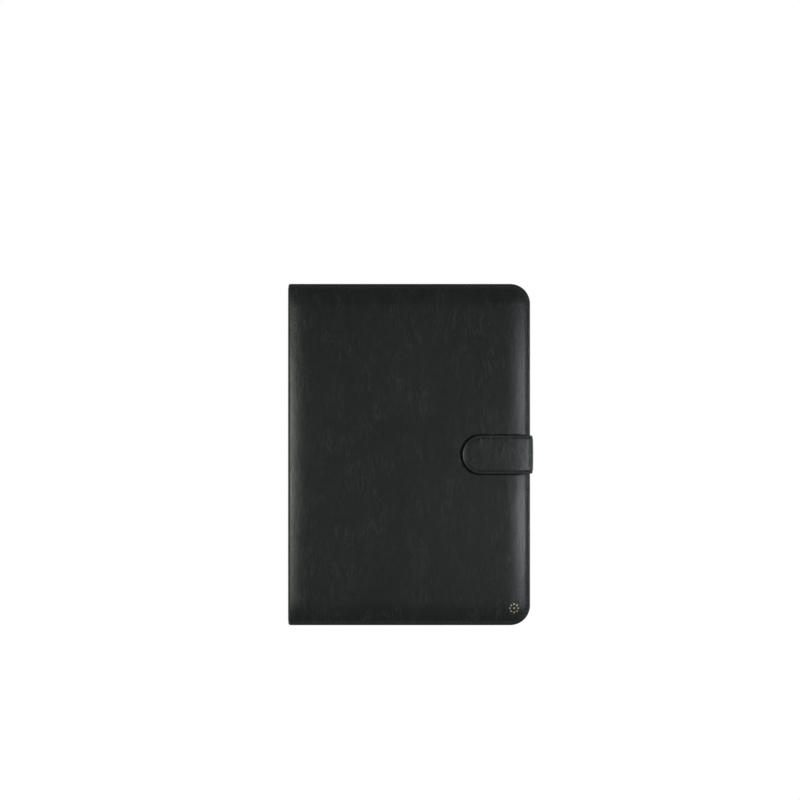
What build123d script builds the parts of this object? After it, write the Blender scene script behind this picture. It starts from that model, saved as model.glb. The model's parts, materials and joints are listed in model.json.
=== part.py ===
from build123d import *
import math
import os

# A folio case for a 10-inch tablet, lying shut on its back.
#
# Frame, in millimetres: +X to the side that opens, where the strap is, +Y to the
# top of the case, +Z out of the front cover. The origin is the centre of the back
# cover's outer face. A stiff back cover carries a moulded tray for the tablet. A
# spine folds along the back cover's left edge, and a padded front cover folds along
# the spine. A strap is sewn into the right edge of the back cover, goes up the open
# side and over the front cover, where its magnets hold on a steel plate.
#
# Each fold of the leather is a round bead on the fold's axis, so that the two
# panels beside it turn about that axis without touching.

# ---- the tablet that the tray is moulded for ----
TABLET_WIDTH = 174.1
TABLET_HEIGHT = 250.6
TABLET_DEPTH = 7.5
TABLET_CORNER = 11.0  # radius, seen from the front
TABLET_CLEARANCE = 0.2  # all round, and above the screen

# ---- tray ----
TRAY_WALL = 1.6
TRAY_FLOOR = 1.2
TRAY_LIP = 1.0  # thickness of the lip over the tablet's edge
TRAY_LIP_REACH = 1.4  # how far the lip reaches over the tablet
TRAY_BACK_ROUND = 3.2  # outer edge round the tray's back, as the tablet's back is round
TRAY_LIP_BEVEL = 0.3
TRAY_GLUE = 0.3  # adhesive sheet under the tray
TRAY_GLUE_MARGIN = 5.0

# ---- cut-outs in the tray, measured from the tablet's centre ----
PORT_LENGTH = 14.0
PORT_HEIGHT = 5.6
SPEAKER_LENGTH = 27.0
SPEAKER_HEIGHT = 4.6
SPEAKER_OFFSET = 58.0
VOLUME_LENGTH = 31.0
VOLUME_OFFSET = 87.0
POWER_LENGTH = 17.0
POWER_OFFSET = 62.0
BUTTON_HEIGHT = 5.2
JACK_RADIUS = 3.2
JACK_OFFSET = 68.0
RELIEF_MARGIN = 1.1  # shallow relief in the wall's outer face, round each cut-out
RELIEF_DEPTH = 0.5
CAMERA_INSET = 15.0  # camera to the tablet's right and top edges
CAMERA_RADIUS = 6.0  # hole in the tray
CAMERA_STEP = 2.0  # each layer's hole is larger than the tray's by this

# ---- covers ----
LEATHER = 1.0
BOARD = 1.5
LINING = 0.6
PAD_RISE = 2.0  # height of the padding at the middle of the front
PAD_SHOULDER = 12.0  # width over which the padding falls away at the edges
SEAM_WIDTH = 3.0  # leather outside the boards, where the seam runs
TURNED_EDGE = 2.0  # leather round the boards' ends beside the folds
EDGE_ROUND = 0.7
COVER_CORNER = 15.0
LINING_SETBACK = 0.6
OVERHANG_ENDS = 1.9  # covers beyond the tray at the top and bottom
OVERHANG_OPEN = 2.2  # covers beyond the tray on the open side

# ---- spine and folds ----
SPINE_BOARD = 1.0
SPINE_LINING = 0.5
SPINE_GAP = 0.6  # spine lining to the tray
SPINE_END_BEVEL = 0.9  # the bead's ends, top and bottom
FOLD_GAP = 0.2  # between a bead and the panel beside it
STAY_GAP = 0.3  # between the beads and the spine's board

# ---- strap ----
STRAP_WIDTH = 29.0
STRAP_REACH = 51.0  # over the front cover, from its right edge to the tip
STRAP_LEATHER = 0.7
STRAP_CORE = 0.9
STRAP_LINING = 0.6
STRAP_GAP = 0.3  # between the strap and the covers it goes round
STRAP_EDGE = 2.5  # leather round the strap's core
STRAP_BEND = 8.0  # radius where the strap leaves the seam for the padding
ANCHOR = 1.0  # thickness of the strap's sewn-in tongue
ANCHOR_LENGTH = 30.0
ANCHOR_NARROWING = 1.5  # the tongue is narrower than the strap, each side

# ---- magnets ----
CLASP_MAGNET_RADIUS = 5.0
CLASP_MAGNET_SPACING = 12.0  # along the strap, from the middle of its round tip
KEEPER_THICKNESS = 0.5
KEEPER_MARGIN = 2.0  # steel beyond the magnets it faces
WAKE_MAGNET_LENGTH = 12.0
WAKE_MAGNET_WIDTH = 4.0
WAKE_MAGNET_INSET = 12.0
WAKE_MAGNET_OFFSETS = (-86.0, -62.0, 62.0, 86.0)
INSERT_GAP = 0.1  # round a magnet or the keeper in its seat

# ---- pocket and card slots on the inside of the front cover ----
POCKET_SHEET = 0.6
POCKET_GAP = 0.4  # between the tray's lip and the pocket
POCKET_HEIGHT = 158.0
POCKET_SCOOP = 7.0  # depth of the curve in the pocket's top edge
CARD_WIDTH = 92.0  # a slot for a bank card, with its stitched margins
CARD_SLOT_HEIGHT = 46.0
CARD_STEP = 13.0  # how much of each slot behind shows above the one in front
CARD_LAYER = 0.3
CARD_LAYERS = 3
CARD_BASE_OFFSET = 24.0  # lowest slot, above the pocket's bottom edge

# ---- places worked out from the sizes above ----
bead = (LEATHER + BOARD) / 2  # radius of a leather fold
bay_width = TABLET_WIDTH + 2 * TABLET_CLEARANCE
bay_height = TABLET_HEIGHT + 2 * TABLET_CLEARANCE
bay_depth = TABLET_DEPTH + TABLET_CLEARANCE
tray_width = bay_width + 2 * TRAY_WALL
tray_height = bay_height + 2 * TRAY_WALL
tray_depth = TRAY_FLOOR + bay_depth + TRAY_LIP

spine_depth = LEATHER + SPINE_BOARD + SPINE_LINING
cover_width = spine_depth + SPINE_GAP + tray_width + OVERHANG_OPEN
cover_height = tray_height + 2 * OVERHANG_ENDS
left = -cover_width / 2
right = cover_width / 2
top = cover_height / 2

fold_x = left + bead
panel_left = fold_x + bead + FOLD_GAP
tray_left = left + spine_depth + SPINE_GAP
tray_x = tray_left + tray_width / 2

back_band = LEATHER + BOARD  # top of the back's leather, under its lining
tray_back = back_band + LINING + TRAY_GLUE
tray_front = tray_back + tray_depth
pocket_back = tray_front + POCKET_GAP
front_lining = pocket_back + POCKET_SHEET
front_band = front_lining + LINING
board_front = front_band + BOARD
shoulder = board_front + LEATHER  # where the padding starts to rise
crown = shoulder + PAD_RISE  # highest leather on the front

lower_fold = bead
upper_fold = front_band + bead

strap_thickness = STRAP_LEATHER + STRAP_CORE + STRAP_LINING
strap_bead = strap_thickness / 2
strap_x = right + STRAP_GAP + strap_bead
strap_low = LEATHER + ANCHOR / 2
strap_high = shoulder + STRAP_GAP + strap_bead
strap_start = strap_x - strap_bead - FOLD_GAP
strap_tip = right - STRAP_REACH
clasp_x = strap_tip + STRAP_WIDTH / 2

camera_x = tray_x + TABLET_WIDTH / 2 - CAMERA_INSET
camera_y = TABLET_HEIGHT / 2 - CAMERA_INSET
side_hole_z = tray_back + TRAY_FLOOR + bay_depth / 2

pad_radius = (PAD_SHOULDER**2 + PAD_RISE**2) / (2 * PAD_RISE)  # of the shoulder's arc
CROWN_STEPS = 4  # sections that the padding is lofted through
LEAST_RADIUS = 0.6  # smallest corner that a section may have


# ---- helpers ----
def plan(x_low, x_high, half_height, corner):
    """A cover's outline: square at the fold, round at the open side."""
    sheet = Pos((x_low + x_high) / 2, 0) * Rectangle(x_high - x_low, 2 * half_height)
    open_corners = sheet.vertices().sort_by(Axis.X)[-2:]
    return fillet(open_corners, max(corner, LEAST_RADIUS))


def cover_plan(inset, fold_inset=0.0):
    """The covers' outline, drawn in by inset, and by fold_inset beside the fold."""
    return plan(panel_left + fold_inset, right - inset, top - inset, COVER_CORNER - inset)


def slab(face, low, high):
    """A plate of that outline, between two heights."""
    return Pos(0, 0, low) * extrude(face, high - low)


def box_between(x, y, z):
    """A box from three (low, high) pairs."""
    size = [pair[1] - pair[0] for pair in (x, y, z)]
    middle = [(pair[0] + pair[1]) / 2 for pair in (x, y, z)]
    return Pos(*middle) * Box(*size)


def camera_hole(steps):
    """The camera's hole in a layer: the further out, the wider."""
    radius = CAMERA_RADIUS + steps * CAMERA_STEP
    return Pos(camera_x, camera_y, crown / 2) * Cylinder(radius, 2 * crown)


def crown_rise(share):
    """How far the padding has risen, at that share of the shoulder: an arc, level at its top."""
    to_go = PAD_SHOULDER * (1 - share)
    return math.sqrt(pad_radius**2 - to_go**2) - pad_radius + PAD_RISE


def crown_form(base, fold_inset):
    """The padded form above the height base: steep at the seam, flat in the middle."""
    sections = []
    for step in range(CROWN_STEPS + 1):
        share = step / CROWN_STEPS
        inward = PAD_SHOULDER * share
        outline = cover_plan(SEAM_WIDTH + inward, fold_inset + inward)
        sections.append(Pos(0, 0, base + crown_rise(share)) * outline)
    return loft(sections)


def clasp_places():
    """The centres of the strap's magnets."""
    return [(clasp_x, 0), (clasp_x + CLASP_MAGNET_SPACING, 0)]


# ---- back cover ----
def anchor_box(gap):
    """The strap's sewn-in tongue, or with a gap its seat in the back cover."""
    half = STRAP_WIDTH / 2 - ANCHOR_NARROWING + gap
    reach = (right - ANCHOR_LENGTH - gap, strap_start)
    return box_between(reach, (-half, half), (LEATHER, LEATHER + ANCHOR))


def back_board():
    board = slab(cover_plan(SEAM_WIDTH, TURNED_EDGE), LEATHER, back_band)
    return board - camera_hole(2) - anchor_box(INSERT_GAP)


def back_leather():
    skin = slab(cover_plan(0), 0, back_band)
    outer_edges = skin.edges().group_by(Axis.Z)[0].sort_by(Axis.X)[1:]
    skin = fillet(outer_edges, EDGE_ROUND)
    board_seat = slab(cover_plan(SEAM_WIDTH, TURNED_EDGE), LEATHER, back_band)
    board_seat -= camera_hole(2)
    return skin - board_seat - anchor_box(INSERT_GAP) - camera_hole(1)


def back_lining():
    sheet = slab(cover_plan(LINING_SETBACK, LINING_SETBACK), back_band, back_band + LINING)
    return sheet - camera_hole(1)


def tray_adhesive():
    half_width = tray_width / 2 - TRAY_GLUE_MARGIN
    half_height = tray_height / 2 - TRAY_GLUE_MARGIN
    sheet = Pos(tray_x, 0) * RectangleRounded(2 * half_width, 2 * half_height, TABLET_CORNER)
    return slab(sheet, tray_back - TRAY_GLUE, tray_back) - camera_hole(1)


# ---- tray ----
def tray_outline(inset):
    """The tray's outline, drawn in by inset from its outer wall."""
    corner = TABLET_CORNER + TABLET_CLEARANCE + TRAY_WALL - inset
    return Pos(tray_x, 0) * RectangleRounded(tray_width - 2 * inset, tray_height - 2 * inset, corner)


def wall_plane(offset, side):
    """A plane on a wall's outer face: its x runs along the wall, its z points out."""
    if side == "right":
        return Plane((tray_x + tray_width / 2, offset, side_hole_z), x_dir=(0, 1, 0), z_dir=(1, 0, 0))
    out = 1 if side == "top" else -1
    return Plane((tray_x + offset, out * tray_height / 2, side_hole_z), x_dir=(1, 0, 0), z_dir=(0, out, 0))


def cut_out(side, offset, length, height):
    """A hole through a wall, with a shallow relief round it in the wall's outer face."""
    plane = wall_plane(offset, side)

    def outline(grow):
        if length <= height:
            return Circle(height / 2 + grow)
        return SlotOverall(length + 2 * grow, height + 2 * grow)

    through = extrude(plane * outline(0), 2 * TRAY_WALL, both=True)
    relief = extrude(plane * outline(RELIEF_MARGIN), RELIEF_DEPTH, both=True)
    return through + relief


def tablet_tray():
    """A moulded shell: a round back, thin walls, and a lip over the tablet's edge."""
    body = slab(tray_outline(0), tray_back, tray_front)
    body = fillet(body.edges().group_by(Axis.Z)[0], TRAY_BACK_ROUND)
    floor = tray_back + TRAY_FLOOR
    bay = slab(tray_outline(TRAY_WALL), floor, floor + bay_depth)
    bay = fillet(bay.edges().group_by(Axis.Z)[0], TRAY_BACK_ROUND - TRAY_FLOOR)
    body -= bay
    window = TRAY_WALL + TABLET_CLEARANCE + TRAY_LIP_REACH
    body -= slab(tray_outline(window), floor + bay_depth / 2, tray_front + TRAY_LIP)
    body = chamfer(body.edges().group_by(Axis.Z)[-1], TRAY_LIP_BEVEL)
    return body - [
        cut_out("bottom", 0, PORT_LENGTH, PORT_HEIGHT),
        cut_out("bottom", -SPEAKER_OFFSET, SPEAKER_LENGTH, SPEAKER_HEIGHT),
        cut_out("bottom", SPEAKER_OFFSET, SPEAKER_LENGTH, SPEAKER_HEIGHT),
        cut_out("top", POWER_OFFSET, POWER_LENGTH, BUTTON_HEIGHT),
        cut_out("top", -JACK_OFFSET, 2 * JACK_RADIUS, 2 * JACK_RADIUS),
        cut_out("right", VOLUME_OFFSET, VOLUME_LENGTH, BUTTON_HEIGHT),
        camera_hole(0),
    ]


# ---- spine ----
def spine_leather():
    """The spine's leather, with the bead of each fold along it."""
    sheet = box_between((left, left + LEATHER), (-top, top), (lower_fold, upper_fold))
    for height in (lower_fold, upper_fold):
        roll = Pos(fold_x, 0, height) * Rot(90, 0, 0) * Cylinder(bead, 2 * top)
        sheet += chamfer(roll.edges().filter_by(GeomType.CIRCLE), SPINE_END_BEVEL)
    return sheet


def spine_stay(outer, thickness):
    """A plate inside the spine, between the two beads."""
    low = lower_fold + bead + STAY_GAP
    high = upper_fold - bead - STAY_GAP
    half = top - SEAM_WIDTH
    return box_between((outer, outer + thickness), (-half, half), (low, high))


# ---- front cover ----
def wake_magnet(offset, gap):
    """One bar magnet that wakes the tablet, or with a gap its hole in the board."""
    half_width = WAKE_MAGNET_WIDTH / 2 + gap
    half_length = WAKE_MAGNET_LENGTH / 2 + gap
    x = right - WAKE_MAGNET_INSET
    along = (offset - half_length, offset + half_length)
    return box_between((x - half_width, x + half_width), along, (front_band, board_front))


def keeper_box(gap):
    """The steel plate under the strap's magnets, or with a gap its seat in the foam."""
    half = CLASP_MAGNET_RADIUS + KEEPER_MARGIN + gap
    reach = (clasp_x - half, clasp_x + CLASP_MAGNET_SPACING + half)
    return box_between(reach, (-half, half), (board_front, board_front + KEEPER_THICKNESS))


def front_board():
    board = slab(cover_plan(SEAM_WIDTH, TURNED_EDGE), front_band, board_front)
    return board - [wake_magnet(offset, INSERT_GAP) for offset in WAKE_MAGNET_OFFSETS]


def front_foam():
    return crown_form(board_front, TURNED_EDGE) - keeper_box(INSERT_GAP)


def front_leather():
    """The front's outer skin: a sewn edge all round, and a crown over the padding."""
    skin = slab(cover_plan(0), front_band, shoulder)
    outer_edges = skin.edges().group_by(Axis.Z)[-1].sort_by(Axis.X)[1:]
    skin = fillet(outer_edges, EDGE_ROUND)
    skin += crown_form(shoulder, 0.0)
    skin -= slab(cover_plan(SEAM_WIDTH, TURNED_EDGE), front_band, board_front)
    return skin - crown_form(board_front, TURNED_EDGE)


def front_lining_sheet():
    return slab(cover_plan(LINING_SETBACK, LINING_SETBACK), front_lining, front_band)


def document_pocket():
    """A slip pocket over the lower part of the lining, with a scooped top edge."""
    inset = SEAM_WIDTH / 2
    sheet = cover_plan(inset, inset)
    mouth = -top + POCKET_HEIGHT
    width = right - panel_left - 2 * inset
    middle = (right + panel_left) / 2
    above = Pos(middle, mouth + top) * Rectangle(width, 2 * top)
    scoop_radius = (width**2 / 4 + POCKET_SCOOP**2) / (2 * POCKET_SCOOP)
    scoop = Pos(middle, mouth - POCKET_SCOOP + scoop_radius) * Circle(scoop_radius)
    return slab(sheet - above - scoop, pocket_back, front_lining)


def card_slots():
    """Stepped strips, one for each card, the nearest the thickest."""
    base = -top + CARD_BASE_OFFSET
    middle = (right + panel_left) / 2
    strips = []
    for layer in range(CARD_LAYERS):
        low = base if layer == 0 else base + CARD_SLOT_HEIGHT + (layer - 1) * CARD_STEP
        high = base + CARD_SLOT_HEIGHT + layer * CARD_STEP
        depth = CARD_LAYER * (CARD_LAYERS - layer)
        across = (middle - CARD_WIDTH / 2, middle + CARD_WIDTH / 2)
        strips.append(box_between(across, (low, high), (pocket_back - depth, pocket_back)))
    return Compound(strips)


# ---- strap ----
def strap_end_outline(inset):
    """The strap seen from the front: straight sides and a round tip."""
    half = STRAP_WIDTH / 2
    tip = Pos(strap_tip + half, 0) * Circle(half - inset)
    length = strap_start - inset - strap_tip - half
    return tip + Pos(strap_start - inset - length / 2, 0) * Rectangle(length, 2 * (half - inset))


def strap_layer(low, high):
    """A layer of the strap's tab between two heights above its underside.

    The underside follows the front cover at the strap's gap: along the seam, up the
    padding's shoulder and level from there to the tip.
    """
    seam_x = right - SEAM_WIDTH
    level_x = seam_x - PAD_SHOULDER
    low_seam, high_seam = shoulder + STRAP_GAP + low, shoulder + STRAP_GAP + high
    low_level, high_level = low_seam + PAD_RISE, high_seam + PAD_RISE
    side = make_face([
        Line((strap_start, low_seam), (seam_x, low_seam)),
        TangentArc((level_x, low_level), (seam_x, low_seam), tangent=(1, 0)),
        Line((level_x, low_level), (strap_tip, low_level)),
        Line((strap_tip, low_level), (strap_tip, high_level)),
        Line((strap_tip, high_level), (level_x, high_level)),
        TangentArc((level_x, high_level), (seam_x, high_seam), tangent=(1, 0)),
        Line((seam_x, high_seam), (strap_start, high_seam)),
        Line((strap_start, high_seam), (strap_start, low_seam)),
    ])
    bends = side.vertices().filter_by_position(Axis.X, seam_x, seam_x)
    return extrude(Plane.XZ * fillet(bends, STRAP_BEND), STRAP_WIDTH, both=True)


def strap_trim(inset):
    """A tall prism of the strap's outline, to cut a layer with."""
    return slab(strap_end_outline(inset), 0, 2 * crown)


def strap_tab_lining():
    return strap_layer(0, STRAP_LINING) & strap_trim(0)


def strap_core_form(gap):
    core = strap_layer(STRAP_LINING, STRAP_LINING + STRAP_CORE)
    return core & strap_trim(STRAP_EDGE - gap)


def clasp_magnet_form(radius):
    low = crown + STRAP_GAP + STRAP_LINING
    disc = slab(Circle(radius), low, low + STRAP_CORE)
    return [Pos(x, y) * disc for x, y in clasp_places()]


def strap_tab_core():
    return strap_core_form(0) - clasp_magnet_form(CLASP_MAGNET_RADIUS + INSERT_GAP)


def strap_tab_leather():
    shell = strap_layer(STRAP_LINING, strap_thickness) & strap_trim(0)
    return shell - strap_core_form(0)


def strap_side(outer):
    """One layer of the strap where it goes up the open side, round at both folds."""
    length = strap_high - strap_low + strap_thickness
    middle = Plane((strap_x, 0, (strap_low + strap_high) / 2), x_dir=(0, 0, 1), z_dir=(0, 1, 0))
    band = extrude(middle * SlotOverall(length, strap_thickness), STRAP_WIDTH / 2, both=True)
    inner_face = strap_x - strap_bead
    split = inner_face + STRAP_LINING
    reach = (split, strap_x + strap_thickness) if outer else (inner_face - strap_thickness, split)
    return band & box_between(reach, (-STRAP_WIDTH, STRAP_WIDTH), (-crown, 3 * crown))


# ---- the case, one file for each piece ----
PIECES = {
    "back_leather": back_leather,
    "back_board": back_board,
    "back_lining": back_lining,
    "strap_anchor": lambda: anchor_box(0),
    "tray_adhesive": tray_adhesive,
    "tablet_tray": tablet_tray,
    "spine_leather": spine_leather,
    "spine_board": lambda: spine_stay(left + LEATHER, SPINE_BOARD),
    "spine_lining": lambda: spine_stay(left + LEATHER + SPINE_BOARD, SPINE_LINING),
    "front_leather": front_leather,
    "front_foam": front_foam,
    "front_board": front_board,
    "front_lining": front_lining_sheet,
    "clasp_keeper_plate": lambda: keeper_box(0),
    "wake_magnets": lambda: Compound([wake_magnet(offset, 0) for offset in WAKE_MAGNET_OFFSETS]),
    "document_pocket": document_pocket,
    "card_slots": card_slots,
    "strap_side_leather": lambda: strap_side(True),
    "strap_side_lining": lambda: strap_side(False),
    "strap_tab_leather": strap_tab_leather,
    "strap_tab_core": strap_tab_core,
    "strap_tab_lining": strap_tab_lining,
    "clasp_magnets": lambda: Compound(clasp_magnet_form(CLASP_MAGNET_RADIUS)),
}

os.makedirs("parts", exist_ok=True)
for name, make in PIECES.items():
    export_step(make(), f"parts/{name}.step")

print("cover", round(cover_width, 2), "x", round(cover_height, 2), "crown", round(crown, 2))
print("folds x", round(fold_x, 3), "z", round(lower_fold, 3), round(upper_fold, 3))
print("strap folds x", round(strap_x, 3), "z", round(strap_low, 3), round(strap_high, 3))
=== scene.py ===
"""Dresses a folio tablet case: its leather, lining, pockets, strap, stitching and stage.

The case is worked out in millimetres and scaled once, when a mesh is made. It lies on
its back: +X is the side that opens, +Y its top, +Z out of the front cover.
"""

import json
import math
from types import SimpleNamespace

import bmesh
import bpy
import numpy as np
from bpy.props import FloatProperty, FloatVectorProperty, PointerProperty
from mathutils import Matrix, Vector


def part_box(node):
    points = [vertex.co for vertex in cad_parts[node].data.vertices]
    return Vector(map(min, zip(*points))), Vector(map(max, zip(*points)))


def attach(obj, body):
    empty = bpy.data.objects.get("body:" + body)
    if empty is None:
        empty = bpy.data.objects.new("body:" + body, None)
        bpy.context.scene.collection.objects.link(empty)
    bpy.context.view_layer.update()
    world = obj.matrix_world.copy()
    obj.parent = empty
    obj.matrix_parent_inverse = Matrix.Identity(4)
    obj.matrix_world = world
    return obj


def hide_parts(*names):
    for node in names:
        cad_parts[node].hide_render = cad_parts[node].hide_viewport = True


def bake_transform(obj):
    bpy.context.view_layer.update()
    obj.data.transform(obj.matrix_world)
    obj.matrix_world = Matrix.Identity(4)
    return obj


bl_info = {
    "name": "Folio tablet case",
    "version": (1, 0, 0),
    "blender": (4, 5, 0),
    "location": "3D View > Sidebar > Tablet case",
    "description": "Makes the leather, lining, pockets, strap and stitching of a folio tablet case",
    "category": "Add Mesh",
}

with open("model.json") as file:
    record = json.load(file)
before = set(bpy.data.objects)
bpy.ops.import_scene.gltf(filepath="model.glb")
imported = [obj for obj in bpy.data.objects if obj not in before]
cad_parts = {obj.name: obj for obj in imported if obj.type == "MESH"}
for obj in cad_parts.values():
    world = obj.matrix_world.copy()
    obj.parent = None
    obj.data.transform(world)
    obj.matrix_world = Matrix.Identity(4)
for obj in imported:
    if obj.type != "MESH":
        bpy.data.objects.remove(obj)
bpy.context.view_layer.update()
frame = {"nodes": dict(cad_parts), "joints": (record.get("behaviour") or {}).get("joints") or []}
MM = 0.001


# ---- places taken from the frame, in millimetres ----
def place(node):
    """A node's lowest and highest corners, in millimetres."""
    low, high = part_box(node)
    return low / MM, high / MM


FOLDS = {joint["name"]: Vector(joint["pos_m"]) / MM for joint in frame["joints"]}
front_low, front_high = place("front_leather")
back_low, back_high = place("back_leather")
spine_low, _ = place("spine_leather")
spine_lining_low, spine_lining_high = place("spine_lining")
LININGS = {side: place(f"{side}_lining") for side in ("front", "back")}
pocket_low, pocket_high = place("document_pocket")
cards_low, cards_high = place("card_slots")
side_low, side_high = place("strap_side_leather")
side_lining_low, side_lining_high = place("strap_side_lining")
tab_low, tab_high = place("strap_tab_leather")

RIGHT = front_high.x
TOP = front_high.y
LEFT = spine_low.x
MIDDLE_Z = (back_low.z + front_low.z + back_high.z) / 2  # half way up the spine
MIRROR_Z = 2 * MIDDLE_Z  # what a height and its mirror image in the back cover add up to
BAND = back_high.z  # thickness of a cover at its sewn edge
CROWN = front_high.z - front_low.z
COVER_CORNER = 15.0
CAMERA_HOLE = Vector((72.55, 110.3))
CAMERA_HOLE_RADIUS = 8.0

PAD_SLOPE = math.radians(12.4)  # how steeply the padding leaves the fold
BACK_FOLD_RADIUS = 1.6
SPINE_BAND = 2.45  # thickness of the spine's leather
SPINE_ROUND = 1.9
EDGE_ROUND = 0.55
SEAM_FLOOR = 2.1  # height of the groove that the seam is sewn in
GROOVE = (1.1, 1.6)  # where the groove's outer wall is, from the edge
LIP_RISE, SPINE_LIP_RISE = 0.42, 0.33  # how far the edge stands above the groove
LIP_SLOPE, LIP_WIDTH = 0.17, 1.4  # and how it falls towards the cut
LEDGE = (2.3, 3.6)  # where the groove's inner wall is on the spine and the back cover
PAD_STEP, PAD_WALL = 0.17, (2.4, 3.4)  # share of its height that the padding gains at once, and where
PAD_START = 2.5  # and where its slope starts
PAD_UNEVEN = 0.04  # how much fuller the padding is in one place than in another
HOLE_DEPTH, HOLE_WIDTH = 0.20, 0.42  # how a stitch's hole draws the leather in
PULL_BESIDE = ((0.035, 3.3, 0.9), (0.02, 0.9, 0.5))  # and beside the seam: depth, inset and width
DENT_WIDTH, DENT_AT_TIP = 1.1, 1.6  # width of the strap's dent, and what it gains towards the tip
DENT_SIDE, DENT_ROUND = 0.42, 0.09  # share of the dent beside the strap and in a wide ring round it

STRAP_HALF = side_high.y - 0.15
STRAP_THICK = side_high.x - side_lining_low.x
STRAP_TIP = tab_low.x
STRAP_SLOPE = 18.0  # length over which it comes down towards the cover's open edge
STRAP_EDGE_SLOPE = 0.145  # how steep that gets at the edge
STRAP_TURN = (1.0, 3.3)  # and where on it the strap turns down more steeply
STRAP_TURN_SLOPE = 0.14
LINING_SHARE = side_lining_high.x - side_lining_low.x
STRAP_EDGE = 0.95  # height of the strap's edge above its inner face
STRAP_SEAM = 1.8  # and how far in from it the groove of its seam is
STRAP_ROUND = 0.3
STRAP_RIM_SLOPE = 0.41  # rise from the edge to the groove
STRAP_GROOVE, STRAP_GROOVE_WIDTH = 0.54, 0.33
STRAP_HOLE, STRAP_HOLE_WIDTH = 0.20, 0.36
STRAP_CROWN, STRAP_CROWN_WIDTH = 0.24, 11  # how the strap swells inside its seam
# where along the strap its wrinkles start, deepen and end
WRINKLES_START, WRINKLES_DEEPEN, WRINKLES_END = (11, 15), (22, 28), (38, 44)
RUBBED_HIGHLIGHT_RINGS = 7  # rings of faces from the edge that are rubbed paler, with a painted highlight along the rim

STITCH_SLANT = math.radians(7)
FINE_STEP = 0.28  # a mesh's spacing in its close spans
CRISP = math.radians(50)  # edges sharper than this aren't smoothed


# ---- sizes and colours that a user would change ----
def length(name, description, default, low=0.0):
    return FloatProperty(
        name=name, description=description, default=default, min=low, max=0.1,
        subtype="DISTANCE", unit="LENGTH", precision=5,
    )


def colour(name, description, default):
    return FloatVectorProperty(
        name=name, description=description, default=default, size=3, min=0.0, max=1.0, subtype="COLOR",
    )


def share(name, description, default):
    return FloatProperty(
        name=name, description=description, default=default, min=0.0, max=1.0, subtype="FACTOR",
    )


def power(name, description, default):
    return FloatProperty(name=name, description=description, default=default, min=0.0, unit="POWER")


class CaseSizes(bpy.types.PropertyGroup):
    """Sizes of the sewing, the padding and the leather's surface."""

    stitch_pitch: length("Stitch pitch", "From one stitch to the next", 0.0035, 0.001)
    stitch_length: length("Stitch length", "Thread seen between two holes", 0.0027, 0.0005)
    thread_width: length("Thread width", "Width of the thread as it lies", 0.00055, 0.0001)
    seam_inset: length("Seam inset", "From the covers' edge to the stitches", 0.0021)
    strap_seam_inset: length("Strap seam inset", "From the strap's edge to its stitches", 0.0018)
    pad_shoulder: length("Padding shoulder", "Width over which the padding rises to its crown", 0.018)
    fold_radius: length("Fold radius", "Outer radius of the leather where the cover folds", 0.0022)
    fold_rise: length("Fold height", "Height of the cover's leather beside the fold", 0.00285)
    crease_depth: length("Crease depth", "Depth of the fine creases in the leather", 0.00007)
    sag_depth: length("Padding waviness", "How far the padding is out of level", 0.00010)
    grain_size: length("Grain size", "Size of the leather's pebbles", 0.0007, 0.0001)
    dent_depth: length("Strap dent", "How far the strap presses the padding down beside its tip", 0.00145)
    mesh_step: length("Mesh step", "Spacing of the covers' mesh", 0.00105, 0.0005)
    foil_dot: length("Foil dot", "Diameter of one dot of the mark", 0.0014)
    foil_ring: length("Foil ring", "Radius of the ring of dots", 0.0031)


class CaseColours(bpy.types.PropertyGroup):
    """Colours of the finishes."""

    leather: colour("Leather", "Covers and strap", (0.0105, 0.0131, 0.0128))
    edge: colour("Edge paint", "Cut edges of the leather", (0.016, 0.016, 0.017))
    thread: colour("Thread", "Stitches", (0.019, 0.020, 0.021))
    lining: colour("Lining", "Microfibre inside the covers", (0.056, 0.058, 0.063))
    pocket: colour("Pocket", "Pocket and card slots", (0.020, 0.020, 0.022))
    tray: colour("Tray", "Moulded tray", (0.014, 0.014, 0.015))
    foil: colour("Foil", "Foil of the mark", (0.58, 0.53, 0.38))


class CaseStage(bpy.types.PropertyGroup):
    """Light round the case."""

    right_light: power("Right light", "Power of the three lights above the open side", 0.64)
    left_light: power("Left light", "Power of the light beside the spine", 0.54)
    low_light: power("Low light", "Power of the low light that catches the rounded edges", 0.32)
    soft_light: power("Soft light", "Power of the wide light high above the cover", 0.095)
    overhead: share("Overhead", "Brightness straight above", 0.19)
    horizon: share("Horizon", "Brightness level with the case", 0.60)
    floor: share("Floor", "Brightness of the floor", 1.0)


def in_mm():
    """The sizes that a user can change, in millimetres."""
    sizes = bpy.context.scene.case_sizes
    return SimpleNamespace(**{key: getattr(sizes, key) / MM for key in CaseSizes.__annotations__})


def stitch_sizes(small):
    """Pitch, length and thickness of the stitches, which are smaller on the strap and the pockets."""
    size = in_mm()
    factors = (0.8, 0.8, 0.85) if small else (1, 1, 1)
    return np.array([size.stitch_pitch, size.stitch_length, size.thread_width]) * factors


# ---- small sums ----
def smooth(value, low, high):
    """0 below low, 1 above high and a smooth rise between."""
    t = np.clip((np.asarray(value, float) - low) / (high - low), 0, 1)
    return t * t * (3 - 2 * t)


def bump(value, centre, width):
    """1 at the centre, and falls away smoothly on both sides."""
    return np.exp(-(((value - centre) / width) ** 2))


def rounded(inset, radius):
    """How far a rounded edge lies below its face, at a distance from the edge."""
    near = np.clip(radius - inset, 0, None)
    return radius - np.sqrt(np.maximum(radius**2 - near**2, 0))


LATTICE = np.random.default_rng(11).random((97, 97))


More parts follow.
